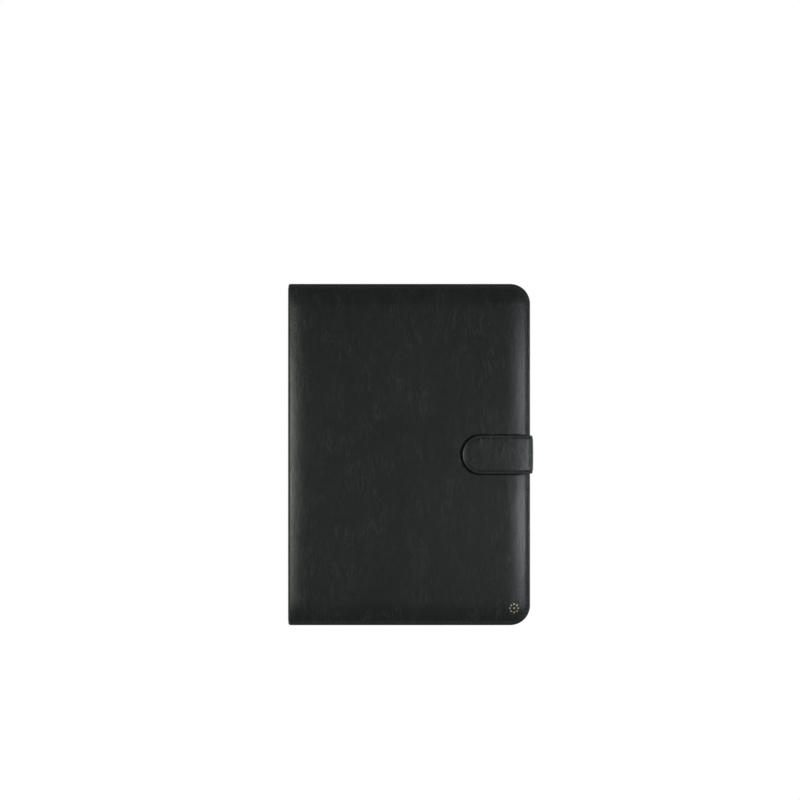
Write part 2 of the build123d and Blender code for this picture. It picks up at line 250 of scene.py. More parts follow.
def ripple(x, y, across, along, shift=0):
    """A smooth random field between -1 and 1, with waves of about those two lengths."""
    u = np.asarray(x, float) / across + 31.7 * shift + 200
    v = np.asarray(y, float) / along + 17.3 * shift + 200
    i, j = np.floor(u).astype(int), np.floor(v).astype(int)
    a, b = smooth(u - i, 0, 1), smooth(v - j, 0, 1)
    size = LATTICE.shape[0]

    def corner(di, dj):
        return LATTICE[(i + di) % size, (j + dj) % size]

    near = corner(0, 0) * (1 - a) + corner(1, 0) * a
    far = corner(0, 1) * (1 - a) + corner(1, 1) * a
    return 2 * (near * (1 - b) + far * b) - 1


def creases(x, y, across, along, shift=0):
    """Fine sharp valleys, longer one way than the other, in patches: 0 to 1."""
    waves = ripple(x, y, across, along, shift) + 0.4 * ripple(x, y, across / 2, along / 2, shift + 3)
    patch = smooth(ripple(x, y, 23, 31, shift + 5), -0.1, 0.6)
    return np.clip(1 - np.abs(waves), 0, 1) ** 9 * patch


def unit(vectors):
    return vectors / np.maximum(np.linalg.norm(vectors, axis=-1, keepdims=True), 1e-12)


def circle(count):
    """Directions round a circle, as pairs."""
    angles = 2 * math.pi * np.arange(count) / count
    return np.stack([np.cos(angles), np.sin(angles)], axis=1)


def measured(line):
    """Distances along a line of flat places, and a function that finds the place at a distance."""
    along = np.concatenate([[0], np.cumsum(np.linalg.norm(np.diff(line, axis=0), axis=1))])

    def spot(distance):
        return np.stack([np.interp(distance, along, line[:, k]) for k in (0, 1)], axis=1)

    return along, spot


def off_line(x, y, z, across, up, lift, turned_over=False):
    """Points lifted off a line seen from the end, along its normal (across, up)."""
    points = np.stack([x + across * lift, y + 0 * x, z + up * lift], axis=-1)
    if turned_over:
        points[..., 2] = MIRROR_Z - points[..., 2]
    return points


# ---- meshes ----
def opened(mesh):
    shape = bmesh.new()
    shape.from_mesh(mesh)
    return shape


def settled(shape, mesh):
    """Writes a shape into a mesh, faces outwards, and smooth except at crisp edges."""
    bmesh.ops.recalc_face_normals(shape, faces=shape.faces)
    for face in shape.faces:
        face.smooth = True
    shape.to_mesh(mesh)
    shape.free()
    mesh.set_sharp_from_angle(angle=CRISP)


def make_piece(name, points, faces, finish_names, finish_of_face=None):
    """A mesh object from points in millimetres."""
    mesh = bpy.data.meshes.new(name)
    mesh.from_pydata((np.asarray(points, float) * MM).tolist(), [], [list(map(int, face)) for face in faces])
    for finish_name in finish_names:
        mesh.materials.append(finishes()[finish_name])
    if finish_of_face is not None:
        mesh.polygons.foreach_set("material_index", np.asarray(finish_of_face, np.int32))
    settled(opened(mesh), mesh)
    piece = bpy.data.objects.new(name, mesh)
    bpy.context.scene.collection.objects.link(piece)
    return piece


def tube_faces(loops, count):
    """Faces of a tube of so many loops of points, closed at both ends."""
    faces = []
    for start in range(0, (loops - 1) * count, count):
        for n in range(count):
            m = (n + 1) % count
            faces.append([start + n, start + m, start + count + m, start + count + n])
    return faces + [list(range(count)), list(range((loops - 1) * count, loops * count))]


def joined(parts):
    """One set of points and faces from several."""
    points, faces, start = [], [], 0
    for part_points, part_faces in parts:
        points.append(part_points)
        faces += [[index + start for index in face] for face in part_faces]
        start += len(part_points)
    return np.concatenate(points), faces


class SheetForm:
    """A sheet's outline as rings drawn in from its edge, round a grid of columns and rows.

    The rings run from the first column along the top, round the far end and back along
    the bottom. The sheet reaches one corner radius beyond its last column and its rows.
    """

    def __init__(self, columns, rows, insets, corner, corner_steps):
        self.columns = np.asarray(columns, float)
        self.rows = np.asarray(rows, float)
        self.insets = np.asarray(insets, float)
        self.corner = corner
        column, row, end = len(columns) - 1, len(rows) - 1, columns[-1]
        turns = np.linspace(0, math.pi / 2, corner_steps + 2)[1:-1]
        # each sample: its foot on the grid, its way out from there, its column and row
        samples = [(x, rows[-1], 0, 1, i, row) for i, x in enumerate(columns)]
        samples += [(end, rows[-1], math.sin(turn), math.cos(turn), column, row) for turn in turns]
        samples += [(end, rows[j], 1, 0, column, j) for j in range(row, -1, -1)]
        samples += [(end, rows[0], math.cos(turn), -math.sin(turn), column, 0) for turn in turns]
        samples += [(columns[i], rows[0], 0, -1, i, 0) for i in range(column, -1, -1)]
        self.samples = np.array(samples, float)
        self.count = len(samples)

    def ring(self, inset):
        """Flat places of one ring's samples."""
        return self.samples[:, 0:2] + self.samples[:, 2:4] * (self.corner - inset)

    def flat(self):
        """Flat x and y, and the distance from the edge, of every point of the top."""
        x, y = np.meshgrid(self.columns, self.rows, indexing="ij")
        inset = np.zeros_like(x)
        if len(self.rows) > 1:
            to_end, to_side, sharpness = self.columns[-1] - x, self.rows[-1] - np.abs(y), 0.8
            inset = -np.log(np.exp(-sharpness * to_end) + np.exp(-sharpness * to_side)) / sharpness
        rings = np.concatenate([self.ring(ring_inset) for ring_inset in self.insets])
        xy = np.concatenate([rings, np.stack([x.ravel(), y.ravel()], axis=1)])
        grid_inset = self.corner + np.maximum(inset.ravel(), -1)
        return xy[:, 0], xy[:, 1], np.concatenate([np.repeat(self.insets, self.count), grid_inset])

    def counted(self, inset, pitch, folds=()):
        """Stitches counted along a ring's seam, with a needle hole at each fold: distances and counts."""
        stops = np.array([0.0, *folds, measured(self.ring(inset))[0][-1]])
        numbers = np.maximum(np.round(np.diff(stops) / pitch), 1)
        return stops, np.concatenate([[0.0], np.cumsum(numbers)])

    def phase(self, inset, pitch, total, folds=()):
        """Stitches counted up to every point of the top's rings: 0.25 in the grid."""
        counts = np.interp(measured(self.ring(inset))[0], *self.counted(inset, pitch, folds))
        rings = np.tile(counts, len(self.insets))
        return np.concatenate([rings, np.full(total - len(rings), 0.25)])

    def top_faces(self):
        """Faces between the rings, to the grid and in the grid."""
        faces = []
        rings, count, rows = len(self.insets), self.count, len(self.rows)
        start = rings * count
        loops = [range(k * count, (k + 1) * count) for k in range(rings)]
        loops.append([int(start + i * rows + j) for i, j in self.samples[:, 4:6]])
        for outer, inner in zip(loops, loops[1:]):
            for n in range(count - 1):
                quad = [outer[n], inner[n], inner[n + 1], outer[n + 1]]
                faces.append(quad if inner[n] != inner[n + 1] else [quad[0], quad[1], quad[3]])
        for i in range(len(self.columns) - 1):
            for a in range(start + i * rows, start + i * rows + rows - 1):
                faces.append([a, a + rows, a + rows + 1, a + 1])
        return faces

    def closed(self, top, rim):
        """Points, faces and the number of top faces: the top, its rim and its underside.

        rim is a list of rings that goes from the top's edge down and in under it.
        """
        faces = self.top_faces()
        top_count, count, columns = len(faces), self.count, len(self.columns)
        starts = [0] + [len(top) + k * count for k in range(len(rim))]
        for above, below in zip(starts, starts[1:]):
            faces += [[below + n, above + n, above + n + 1, below + n + 1] for n in range(count - 1)]
        last = starts[-1]
        for n in range(columns - 1):
            far = last + count - 1 - n
            faces.append([last + n, last + n + 1, far - 1, far])
        faces.append([last + n for n in range(columns - 1, count - columns + 1)])
        rings, rows = len(self.insets), len(self.rows)
        end = [k * count for k in range(rings)]
        end += [rings * count + j for j in range(rows - 1, -1, -1)]
        end += [k * count + count - 1 for k in range(rings - 1, -1, -1)]
        end += [start + count - 1 for start in starts[1:]] + starts[:0:-1]
        faces.append(end)
        return np.concatenate([top, *rim]), faces, top_count


def spaced(low, high, step, close=()):
    """Values from low to high about a step apart, and a fine step apart in the close spans."""
    stops = sorted({low, high, *(stop for span in close for stop in span)})
    values = [np.array([low])]
    for start, end in zip(stops, stops[1:]):
        fine = any(span[0] <= start and end <= span[1] for span in close)
        count = math.ceil((end - start) / (FINE_STEP if fine else step))
        values.append(np.linspace(start, end, count + 1)[1:])
    return np.concatenate(values)


# ---- the covers' skins ----
PAST_FOLD = (0.0, 0.15, 0.3, 0.45, 0.65, 0.9, 1.2, 1.6, 2.2)  # columns that widen beside the fold


class CoverSkin:
    """Where a cover's leather lies, from half way down the spine to the open side.

    It is worked out for the front cover. The back cover is the same, turned over.
    A point is given by u, which is x on the cover and goes on round the fold and down
    the spine, by y, by its distance from the sewn edge, and by its depth in the leather.
    """

    def __init__(self, padded):
        self.padded = padded
        self.size = size = in_mm()
        self.bead = size.fold_radius if padded else BACK_FOLD_RADIUS
        self.shoulder = size.fold_rise if padded else BAND
        self.crown = CROWN if padded else BAND
        self.slope = PAD_SLOPE if padded else 0.0
        self.width = 3 * (self.crown - self.shoulder) / math.tan(self.slope) if padded else 1.0
        self.base = front_low.z
        self.centre_x = LEFT + self.bead
        self.centre_z = self.base + self.shoulder - self.bead * math.cos(self.slope)
        self.fold_x = self.centre_x - self.bead * math.sin(self.slope)
        self.sweep = math.pi / 2 - self.slope
        self.spine_u = self.fold_x - self.bead * self.sweep
        self.end_u = self.spine_u - (self.centre_z - MIDDLE_Z)

    def columns(self, step):
        """Values of u from the spine's middle to the last column, close together at the fold."""
        down = np.linspace(self.end_u, self.spine_u, 8)[:-1]
        bend = np.linspace(self.spine_u, self.fold_x, 16)[:-1]
        near = self.fold_x + np.array(PAST_FOLD)
        close = [(STRAP_TIP - 4, STRAP_TIP + 10)] if self.padded else []
        return np.concatenate([down, bend, near[:-1], spaced(near[-1], RIGHT - COVER_CORNER, step, close)])

    def line(self, u):
        """The outer face along the cover's middle: x, z and the normal's angle there."""
        turn = np.clip((self.fold_x - u) / self.bead, 0, self.sweep)
        angle = math.pi / 2 + self.slope + turn
        down = np.maximum(self.spine_u - u, 0)
        on_cover = u >= self.fold_x
        x = np.where(on_cover, u, self.centre_x + self.bead * np.cos(angle))
        z = np.where(on_cover, self.base + self.rise(u), self.centre_z + self.bead * np.sin(angle) - down)
        level = math.pi / 2 + self.slope * (1 - smooth(u, self.fold_x, self.fold_x + 5))
        return x, z, np.where(on_cover, level, angle)

    def rise(self, u):
        """Height of the outer face above the cover's inner face, along the middle."""
        t = np.clip((u - self.fold_x) / self.width, 0, 1)
        return self.shoulder + (self.crown - self.shoulder) * (1 - (1 - t) ** 3)

    def on_panel(self, u):
        """0 on the spine, 1 on the cover."""
        return smooth(u, self.spine_u, self.fold_x + 0.6)

    def swell(self, inset):
        """How full the padding is at a distance from the edge: up at the seam, then a slope to level."""
        t = np.clip((inset - PAD_START) / self.size.pad_shoulder, 0, 1)
        slope = (t - t**3 / 1.5 + t**5 / 5) * 15 / 8
        return PAD_STEP * smooth(inset, *PAD_WALL) + (1 - PAD_STEP) * slope

    def depth(self, u, y, inset, phase=None):
        """Depth of the outer face below the middle line's height.

        phase counts stitches along the seam, a whole number at each hole.
        """
        panel = self.on_panel(u)
        spine = 1 - panel
        swell = ledge = smooth(inset, *LEDGE)
        if self.padded:
            swell = self.swell(inset) * (1 + PAD_UNEVEN * ripple(u, y, 70, 37))
        swell = swell * panel + ledge * spine
        drop = (self.rise(u) * panel + SPINE_BAND * spine - SEAM_FLOOR) * (1 - swell)
        drop = drop - (LIP_RISE * panel + SPINE_LIP_RISE * spine) * (1 - smooth(inset, *GROOVE))
        drop = drop + rounded(inset, EDGE_ROUND * panel + SPINE_ROUND * spine)
        drop = drop + LIP_SLOPE * panel * np.clip(LIP_WIDTH - inset, 0, None)
        flat = smooth(inset, 2.6, 7) * smooth(u, self.fold_x - 1, self.fold_x + 4)
        wrinkles = creases(u, y, 2.6, 15) - 0.6 * creases(u, y, 2.1, 19, 2)
        drop = drop + self.size.crease_depth * wrinkles * flat
        if phase is not None:
            pull = np.cos(2 * math.pi * phase)
            drop = drop + HOLE_DEPTH * np.maximum(pull, 0) * bump(inset, self.size.seam_inset, HOLE_WIDTH)
            drop = drop + pull * sum(deep * bump(inset, centre, width) for deep, centre, width in PULL_BESIDE)
        if self.padded:
            wave = ripple(u, y, 46, 61, 1) + 0.5 * ripple(u, y, 21, 27, 4)
            drop = drop + self.size.sag_depth * (1 + wave) * smooth(inset, 3, 14) * panel
            drop = drop + self.pressed(u, y) * np.clip(swell, 0, 1) * panel
        return drop

    def pressed(self, u, y):
        """How far the strap presses the padding down, deepest beside its edge."""
        past_tip = np.minimum(u - (STRAP_TIP + STRAP_HALF), 0)
        reach = np.hypot(past_tip, y)
        beside = reach - STRAP_HALF
        outside = np.maximum(beside, 0)
        toward_tip = -past_tip / np.maximum(reach, 1e-6)
        left = np.clip(1 - outside / (DENT_WIDTH + DENT_AT_TIP * toward_tip), 0, 1)
        channel = (left + 0.12 * smooth(left, 0, 0.25)) / 1.12 * (1 - 0.7 * smooth(-beside, 0.3, 2.5))
        deep = DENT_SIDE + (1 - DENT_SIDE) * toward_tip
        return self.size.dent_depth * (deep * channel + DENT_ROUND * bump(outside, 0, 8))

    def under(self, u, inset):
        """Depth of the inner face below the middle line's height."""
        panel = self.on_panel(u)
        spine = 1.0 + 1.6 * (1 - smooth(inset, 0, 3.5))
        return self.rise(u) * panel + spine * (1 - panel)

    def at(self, u, y, depth):
        """The point at a depth below the middle line's height."""
        x, z, angle = self.line(u)
        return off_line(x, y, z, np.cos(angle), np.sin(angle), -depth, not self.padded)

    def outer(self, u, y, inset, phase=None):
        return self.at(u, y, self.depth(u, y, inset, phase))

    def normal(self, u):
        """Rough outward normal of the outer face."""
        angle = self.line(u)[2]
        return np.stack([np.cos(angle), 0 * angle, (1 if self.padded else -1) * np.sin(angle)], axis=-1)


COVER_INSETS = (
    0, 0.1, 0.25, 0.5, 0.8, 1.1, 1.25, 1.4, 1.6, 1.85, 2.1, 2.3, 2.45, 2.55, 2.7, 2.9,
    3.2, 3.6, 4.1, 4.8, 5.7, 6.9, 8.3, 9.9, 11.7, 13.8,
)
COVER_RIM = (0.2, 0.45, 0.7, 0.9, 1.0)  # shares of the way down the cut edge


def cover_form(skin, step):
    """The rings and grid of a cover, with a close mesh along the strap's two edges."""
    half, edge = TOP - COVER_CORNER, STRAP_HALF + 3
    close = [(-edge, 9 - STRAP_HALF), (STRAP_HALF - 9, edge)] if skin.padded else []
    return SheetForm(skin.columns(step), spaced(-half, half, step, close), COVER_INSETS, COVER_CORNER, 22)


def cover_mesh(skin, form):
    """A cover's leather as one closed form: points, faces and which faces are its cut edge."""
    u, y, inset = form.flat()
    phase = form.phase(skin.size.seam_inset, skin.size.stitch_pitch, len(u))
    edge_u, edge_y = form.ring(0).T
    zero = np.zeros(form.count)
    high, low = skin.depth(edge_u, edge_y, zero), skin.under(edge_u, zero)
    rim = []
    for part in COVER_RIM:
        bulge = 0.07 * math.sin(math.pi * part) if part < 1 else -0.12
        rim.append(skin.at(*form.ring(-bulge).T, high + (low - high) * part))
    for inset_under in (0.8, 3.5):
        ring_u, ring_y = form.ring(inset_under).T
        rim.append(skin.at(ring_u, ring_y, skin.under(ring_u, zero + inset_under)))
    points, faces, top_count = form.closed(skin.outer(u, y, inset, phase), rim)
    finish_of_face = np.zeros(len(faces), int)
    finish_of_face[top_count : top_count + len(COVER_RIM) * (form.count - 1)] = 1
    return points, faces, finish_of_face


# ---- stitches ----
def stitches(centres, directions, normals, stitch_length, width):
    """One mesh of thread loops that lie on a surface and dive into it at both ends."""
    around, along = 8, 7
    side = np.cross(normals, directions)
    ahead = unit(directions * math.cos(STITCH_SLANT) + side * math.sin(STITCH_SLANT))
    side = unit(np.cross(normals, ahead))
    loop = []
    for t in np.linspace(-1, 1, along):
        radius = width / 2 * math.sqrt(max(1 - abs(t) ** 3, 0)) + 0.01
        lift = width * (0.42 * (1 - t * t) - 0.28)
        loop += [(t * stitch_length / 2, radius * c, lift + 0.72 * radius * s) for c, s in circle(around)]
    copies = centres[:, None, :] + np.array(loop) @ np.stack([ahead, side, normals], axis=1)
    faces = tube_faces(along, around)
    return joined([(copy, faces) for copy in copies])


def seam_stitches(name, thread, form, surface_at, normal_at, inset, folds=(), small=False, reach=0.6):
    """Stitches along a form's seam, each laid on its surface between two needle holes."""
    pitch, stitch_length, width = stitch_sizes(small)
    _, spot = measured(form.ring(inset))
    stops, counts = form.counted(inset, pitch, folds)
    middles = np.interp(np.arange(counts[-1]) + 0.5, counts, stops)
    spots, ways = spot(middles), unit(spot(middles + 0.4) - spot(middles - 0.4))

    def on_surface(flat):
        return surface_at(*flat.T, np.full(len(flat), inset))

    ahead = unit(on_surface(spots + ways * reach) - on_surface(spots - ways * reach))
    normals = normal_at(spots[:, 0])
    normals = unit(normals - ahead * np.sum(normals * ahead, axis=1, keepdims=True))
    points, faces = stitches(on_surface(spots), ahead, normals, stitch_length, width)
    return make_piece(name, points, faces, [thread])


def line_stitches(line, height):
    """Stitches along an open line of flat places, on a face that looks down."""
    pitch, stitch_length, width = stitch_sizes(small=True)
    along, spot = measured(np.asarray(line, float))
    number = max(int(along[-1] / pitch), 1)
    middles = (along[-1] - number * pitch) / 2 + pitch * (np.arange(number) + 0.5)
    flat = spot(middles)
    level = np.zeros(number)
    centres = np.column_stack([flat, level + height(*flat.T)])
    ahead = np.column_stack([unit(spot(middles + 0.3) - spot(middles - 0.3)), level])
    return stitches(centres, ahead, np.tile([0.0, 0.0, -1.0], (number, 1)), stitch_length, width)


# ---- folds ----
SKIN_SPAN = (-0.43, 1.03)  # where the leather bends, measured off the spine from the fold's axis
SKIN_RISE = 0.3  # and how much that way rises for each millimetre across
LINING_RISE = 1
LINING_SPAN = (-1.1, 0.28)
STRAP_SPAN = (-0.9, 0.9)


def fold_blend(piece, name, way, start, end):
    """Works out two places on a way through a fold's axis, which aren't used, and bakes the piece's placing
    into its mesh.
    """
    axis, away = FOLDS[name], Vector((way[0], 0, way[1])).normalized()
    (axis + away * start) * MM
    (axis + away * end) * MM
    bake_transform(piece)


def spine_blend(piece, side, rise, span):
    """Hands a piece to fold_blend with the fold where the spine meets the front cover or the back cover."""
    if side == "front":
        fold_blend(piece, "cover_fold", (1, rise), span[1], span[0])
    else:
        fold_blend(piece, "spine_fold", (1, -rise), span[0], span[1])


# ---- shaders ----
def tinted(shade, factor):
    return tuple(min(channel * factor, 1.0) for channel in shade)


class Wire:
    """A socket of a material's nodes that takes part in sums as a number does."""

    def __init__(self, tree, socket=None):
        self.tree = tree
        self.socket = socket

    def node(self, kind, settings=None, sockets=None, output=0):
        """Adds a node: its settings first, then values or links for its sockets."""
        made = self.tree.nodes.new(kind)
        for key, value in (settings or {}).items():
            setattr(made, key, value)
        for key, value in (sockets or {}).items():
            socket = made.inputs[key]
            if isinstance(value, Wire):
                self.tree.links.new(value.socket, socket)
            elif hasattr(value, "__len__") and len(value) == 3 and socket.type == "RGBA":
                socket.default_value = (*value, 1)
            else:
                socket.default_value = value
        return Wire(self.tree, made.outputs[output] if len(made.outputs) else None)

    def math(self, operation, first, second):
        return self.node("ShaderNodeMath", {"operation": operation}, {0: first, 1: second})

    def __add__(self, other):
        return self.math("ADD", self, other)

    __radd__ = __add__

    def __sub__(self, other):
        return self.math("SUBTRACT", self, other)

    def __rsub__(self, other):
        return self.math("SUBTRACT", other, self)

    def __mul__(self, other):
        return self.math("MULTIPLY", self, other)

    def mix(self, low, high):
        """A colour between low and high, by this value."""
        return self.node("ShaderNodeMix", {"data_type": "RGBA"}, {0: self, 6: low, 7: high}, 2)

    def shades(self, shade, low, high):
        """A colour between low times and high times a shade, by this value."""
        return self.mix(tinted(shade, low), tinted(shade, high))

    def range(self, low, high):
        """0 at low, 1 at high, smooth between."""
        return self.node(
            "ShaderNodeMapRange", {"interpolation_type": "SMOOTHSTEP"}, {0: self, 1: low, 2: high}
        )

    def noise(self, scale, detail=3.0, stretch=(1, 1, 1)):
        """Noise at this position, so many lumps to a metre."""
        spot = self.node("ShaderNodeVectorMath", {"operation": "MULTIPLY"}, {0: self, 1: stretch})
        return self.node("ShaderNodeTexNoise", None, {"Vector": spot, "Scale": scale, "Detail": detail})

    def lines(self, scale, width, stretch):
        """Thin wandering lines: 1 on a line and 0 beside it."""
        off = self.math("ABSOLUTE", self.noise(scale, 2, stretch) - 0.5, 0.0)
        return 1 - off.range(0.0, width)

    def cells(self, scale):
        """How far from the nearest furrow between pebbles, so many to a metre."""
        return self.node(
            "ShaderNodeTexVoronoi", {"feature": "DISTANCE_TO_EDGE"}, {"Vector": self, "Scale": scale}
        )


def blank(owner):
    """The start of a material's or world's nodes, with none made yet."""
    owner.use_nodes = True
    owner.node_tree.nodes.clear()
    return Wire(owner.node_tree)


def started(name):
    """Starts a material, and gives back the position in it."""
    return blank(bpy.data.materials.new(name)).node("ShaderNodeTexCoord", None, None, "Object")


def surface(position, shade, roughness, height, relief, **others):
    """Closes a material with its surface, and a relief of so many metres."""
    bumps = position.node("ShaderNodeBump", None, {"Strength": 1.0, "Distance": relief, "Height": height})
    sockets = {"Base Color": shade, "Roughness": roughness, "Normal": bumps}
    sockets.update({name.replace("_", " "): value for name, value in others.items()})
    shader = position.node("ShaderNodeBsdfPrincipled", None, sockets)
    position.node("ShaderNodeOutputMaterial", None, {"Surface": shader})


def grained_leather(name, shade, grain, roughness=0.255, relief=0.00002, veined=1.0, waxed=0.02):
    """Waxed leather: fine pebbles, pores, and long fine veins where it was stretched."""
    position = started(name)
    pebbles = position.cells(1 / grain).range(0.02, 0.40)
    small = position.cells(2.3 / grain).range(0.02, 0.45)
    pores = position.noise(3.2 / grain, 3)
    tone = position.noise(26, 5, (1, 0.6, 1))
    wear = position.noise(160, 4, (1, 0.5, 1))
    swell = position.noise(240, 2, (1, 0.6, 1))
    vein_patches = position.noise(60, 3, (1, 0.6, 1)).range(0.42, 0.60)
    scar_patches = position.noise(90, 2, (1, 0.5, 1)).range(0.46, 0.62)
    veins = position.lines(330, 0.040, (1, 0.15, 1)) * vein_patches
    scars = position.lines(470, 0.045, (1, 0.22, 1)) * scar_patches
    height = pebbles * 0.5 + small * 0.25 + pores * 0.3 - scars * 0.9 + veins * 0.7 + swell * 1.6
    toned = (tone * 0.6 + swell * 0.4).range(0.34, 0.66).shades(shade, 0.70, 1.32)
    furrowed = ((1 - pebbles) * 0.5).mix(toned, tinted(shade, 0.7))
    rubbed = (veins * (0.70 * veined)).mix(furrowed, tinted(shade, 2.3))
    cracked = (scars * (0.7 * veined)).mix(rubbed, tinted(shade, 0.35))
    rough = roughness - 0.04 + wear * 0.08 + (1 - pebbles) * 0.06 + veins * (0.08 * veined)
    wax = wear.range(0.35, 0.85) * (1.6 * waxed) + waxed
    surface(position, cracked, rough, height, relief, IOR=1.47, Coat_Weight=wax, Coat_Roughness=0.26)


def painted_edge(name, shade):
    """Edge paint: a thick smooth coat with slight lumps."""
    position = started(name)
    lumps = position.noise(420, 3)
    layers = position.noise(300, 2, (1, 1, 9))
    shades = layers.range(0.35, 0.65).shades(shade, 0.8, 1.25)
    surface(position, shades, 0.36 + lumps * 0.16, lumps * 0.6 + layers * 0.4, 0.00005, IOR=1.5)


def twisted_thread(name, shade):
    """Polyester thread: two plies twisted together, with a slight shine."""
    position = started(name)
    plies = position.node(
        "ShaderNodeTexWave", {"wave_type": "BANDS", "bands_direction": "DIAGONAL"},
        {"Vector": position, "Scale": 620.0, "Distortion": 1.5, "Detail": 1.0}, 1,
    )
    surface(
        position, plies.shades(shade, 0.7, 1.4), 0.42 + plies * 0.12, plies, 0.00006,
        Sheen_Weight=0.15, Sheen_Roughness=0.4,
    )


def microfibre(name, shade):
    """Short brushed nap that lies a little one way or the other."""
    position = started(name)
    nap = position.noise(38, 3, (1, 0.5, 1)) * 0.5 + position.noise(260, 3, (1, 0.35, 1)) * 0.5
    fuzz = position.noise(4200, 2)
    weave = position.cells(2300).range(0.0, 0.5)
    brushed = nap.range(0.3, 0.7) * 0.5 + fuzz * 0.5
    surface(
        position, brushed.shades(shade, 0.82, 1.18), 0.86 + fuzz * 0.1, fuzz * 0.6 + weave * 0.4, 0.00006,
        Sheen_Weight=0.30, Sheen_Roughness=0.45, Sheen_Tint=(0.75, 0.78, 0.85, 1),
    )


def moulded_plastic(name, shade):
    """Soft-touch plastic from a spark-eroded mould."""
    position = started(name)
    pits = position.noise(4200, 3)
    rubbed = position.noise(45, 3).range(0.45, 0.75)
    roughness = 0.50 - rubbed * 0.03 + pits * 0.08
    surface(position, rubbed.shades(shade, 0.96, 1.08), roughness, pits, 0.00002, IOR=1.5)


def pressed_foil(name, shade):
    """Metal foil pressed into leather: it takes the grain, and is rubbed here and there."""
    position = started(name)
    grain = position.cells(1500).range(0.02, 0.4)
    rub = position.noise(2600, 3)
    shades = rub.range(0.3, 0.7).shades(shade, 0.75, 1.0)
    surface(position, shades, 0.24 + rub * 0.2, grain * 0.5 + rub * 0.5, 0.00002, Metallic=1.0)


def plain_stock(name, shade, scale, roughness, metallic=0.0, stretch=(1, 1, 1), relief=0.00004):
    """Board, glue or metal: two noises, one broad and one fine."""
    position = started(name)
    broad = position.noise(scale / 9, 3, stretch)
    fine = position.noise(scale, 4, stretch)
    shades = (broad * 0.5 + fine * 0.5).range(0.3, 0.7).shades(shade, 0.8, 1.15)
    surface(position, shades, roughness - 0.06 + fine * 0.12, fine, relief, Metallic=metallic)


def finishes():
    """The finishes of the case, made once."""
    if "case leather" not in bpy.data.materials:
        colours = bpy.context.scene.case_colours
        grain = bpy.context.scene.case_sizes.grain_size
        grained_leather("case leather", tuple(colours.leather), grain)
        grained_leather("strap leather", tinted(colours.leather, 0.84), grain, 0.225, 0.00004, 1.7, 0.12)
        # paler leather for the strap's rim: partly rubbed wear, partly a painted highlight that stands in for
        # the light its rounded edge catches
        grained_leather("rubbed leather", tinted(colours.leather, 1.9), grain, 0.30, waxed=0.10)
        grained_leather("strap backing", tinted(colours.leather, 1.3), grain * 0.8, 0.50, veined=0.2)
        grained_leather("pocket leather", tuple(colours.pocket), grain * 0.7, 0.42, veined=0.3)
        painted_edge("edge paint", tuple(colours.edge))
        twisted_thread("black thread", tuple(colours.thread))
        twisted_thread("strap thread", tinted(colours.thread, 1.1))
        microfibre("microfibre lining", tuple(colours.lining))
        moulded_plastic("tray plastic", tuple(colours.tray))
        pressed_foil("gold foil", tuple(colours.foil))
        plain_stock("bookbinder's board", (0.30, 0.28, 0.25), 900, 0.85, stretch=(1, 0.3, 1))
        plain_stock("glue sheet", (0.55, 0.53, 0.47), 700, 0.6)
        plain_stock("keeper steel", (0.52, 0.52, 0.53), 2600, 0.38, 1.0, (1, 0.06, 1), 0.00001)
        plain_stock("magnet plating", (0.60, 0.60, 0.62), 2200, 0.25, 1.0, relief=0.00001)
    return bpy.data.materials


# ---- boards, tray and metal ----
INNER_FINISHES = {
    "back_board": "bookbinder's board", "spine_board": "bookbinder's board",
    "front_board": "bookbinder's board", "tray_adhesive": "glue sheet",
    "strap_anchor": "strap backing", "tablet_tray": "tray plastic",
    "clasp_keeper_plate": "keeper steel", "wake_magnets": "magnet plating",
    "clasp_magnets": "magnet plating",
}


class CASE_OT_inner_parts(bpy.types.Operator):
    """Give the boards, the tray, the metal parts and the glue their finishes"""

    bl_idname = "tablet_case.inner_parts"
    bl_label = "Boards, tray and metal"

    def execute(self, context):
        for node, finish_name in INNER_FINISHES.items():
            part = frame["nodes"][node]
            if not part.material_slots:
                part.data.materials.append(finishes()[finish_name])
            for slot in part.material_slots:
                slot.material = finishes()[finish_name]
        return {"FINISHED"}


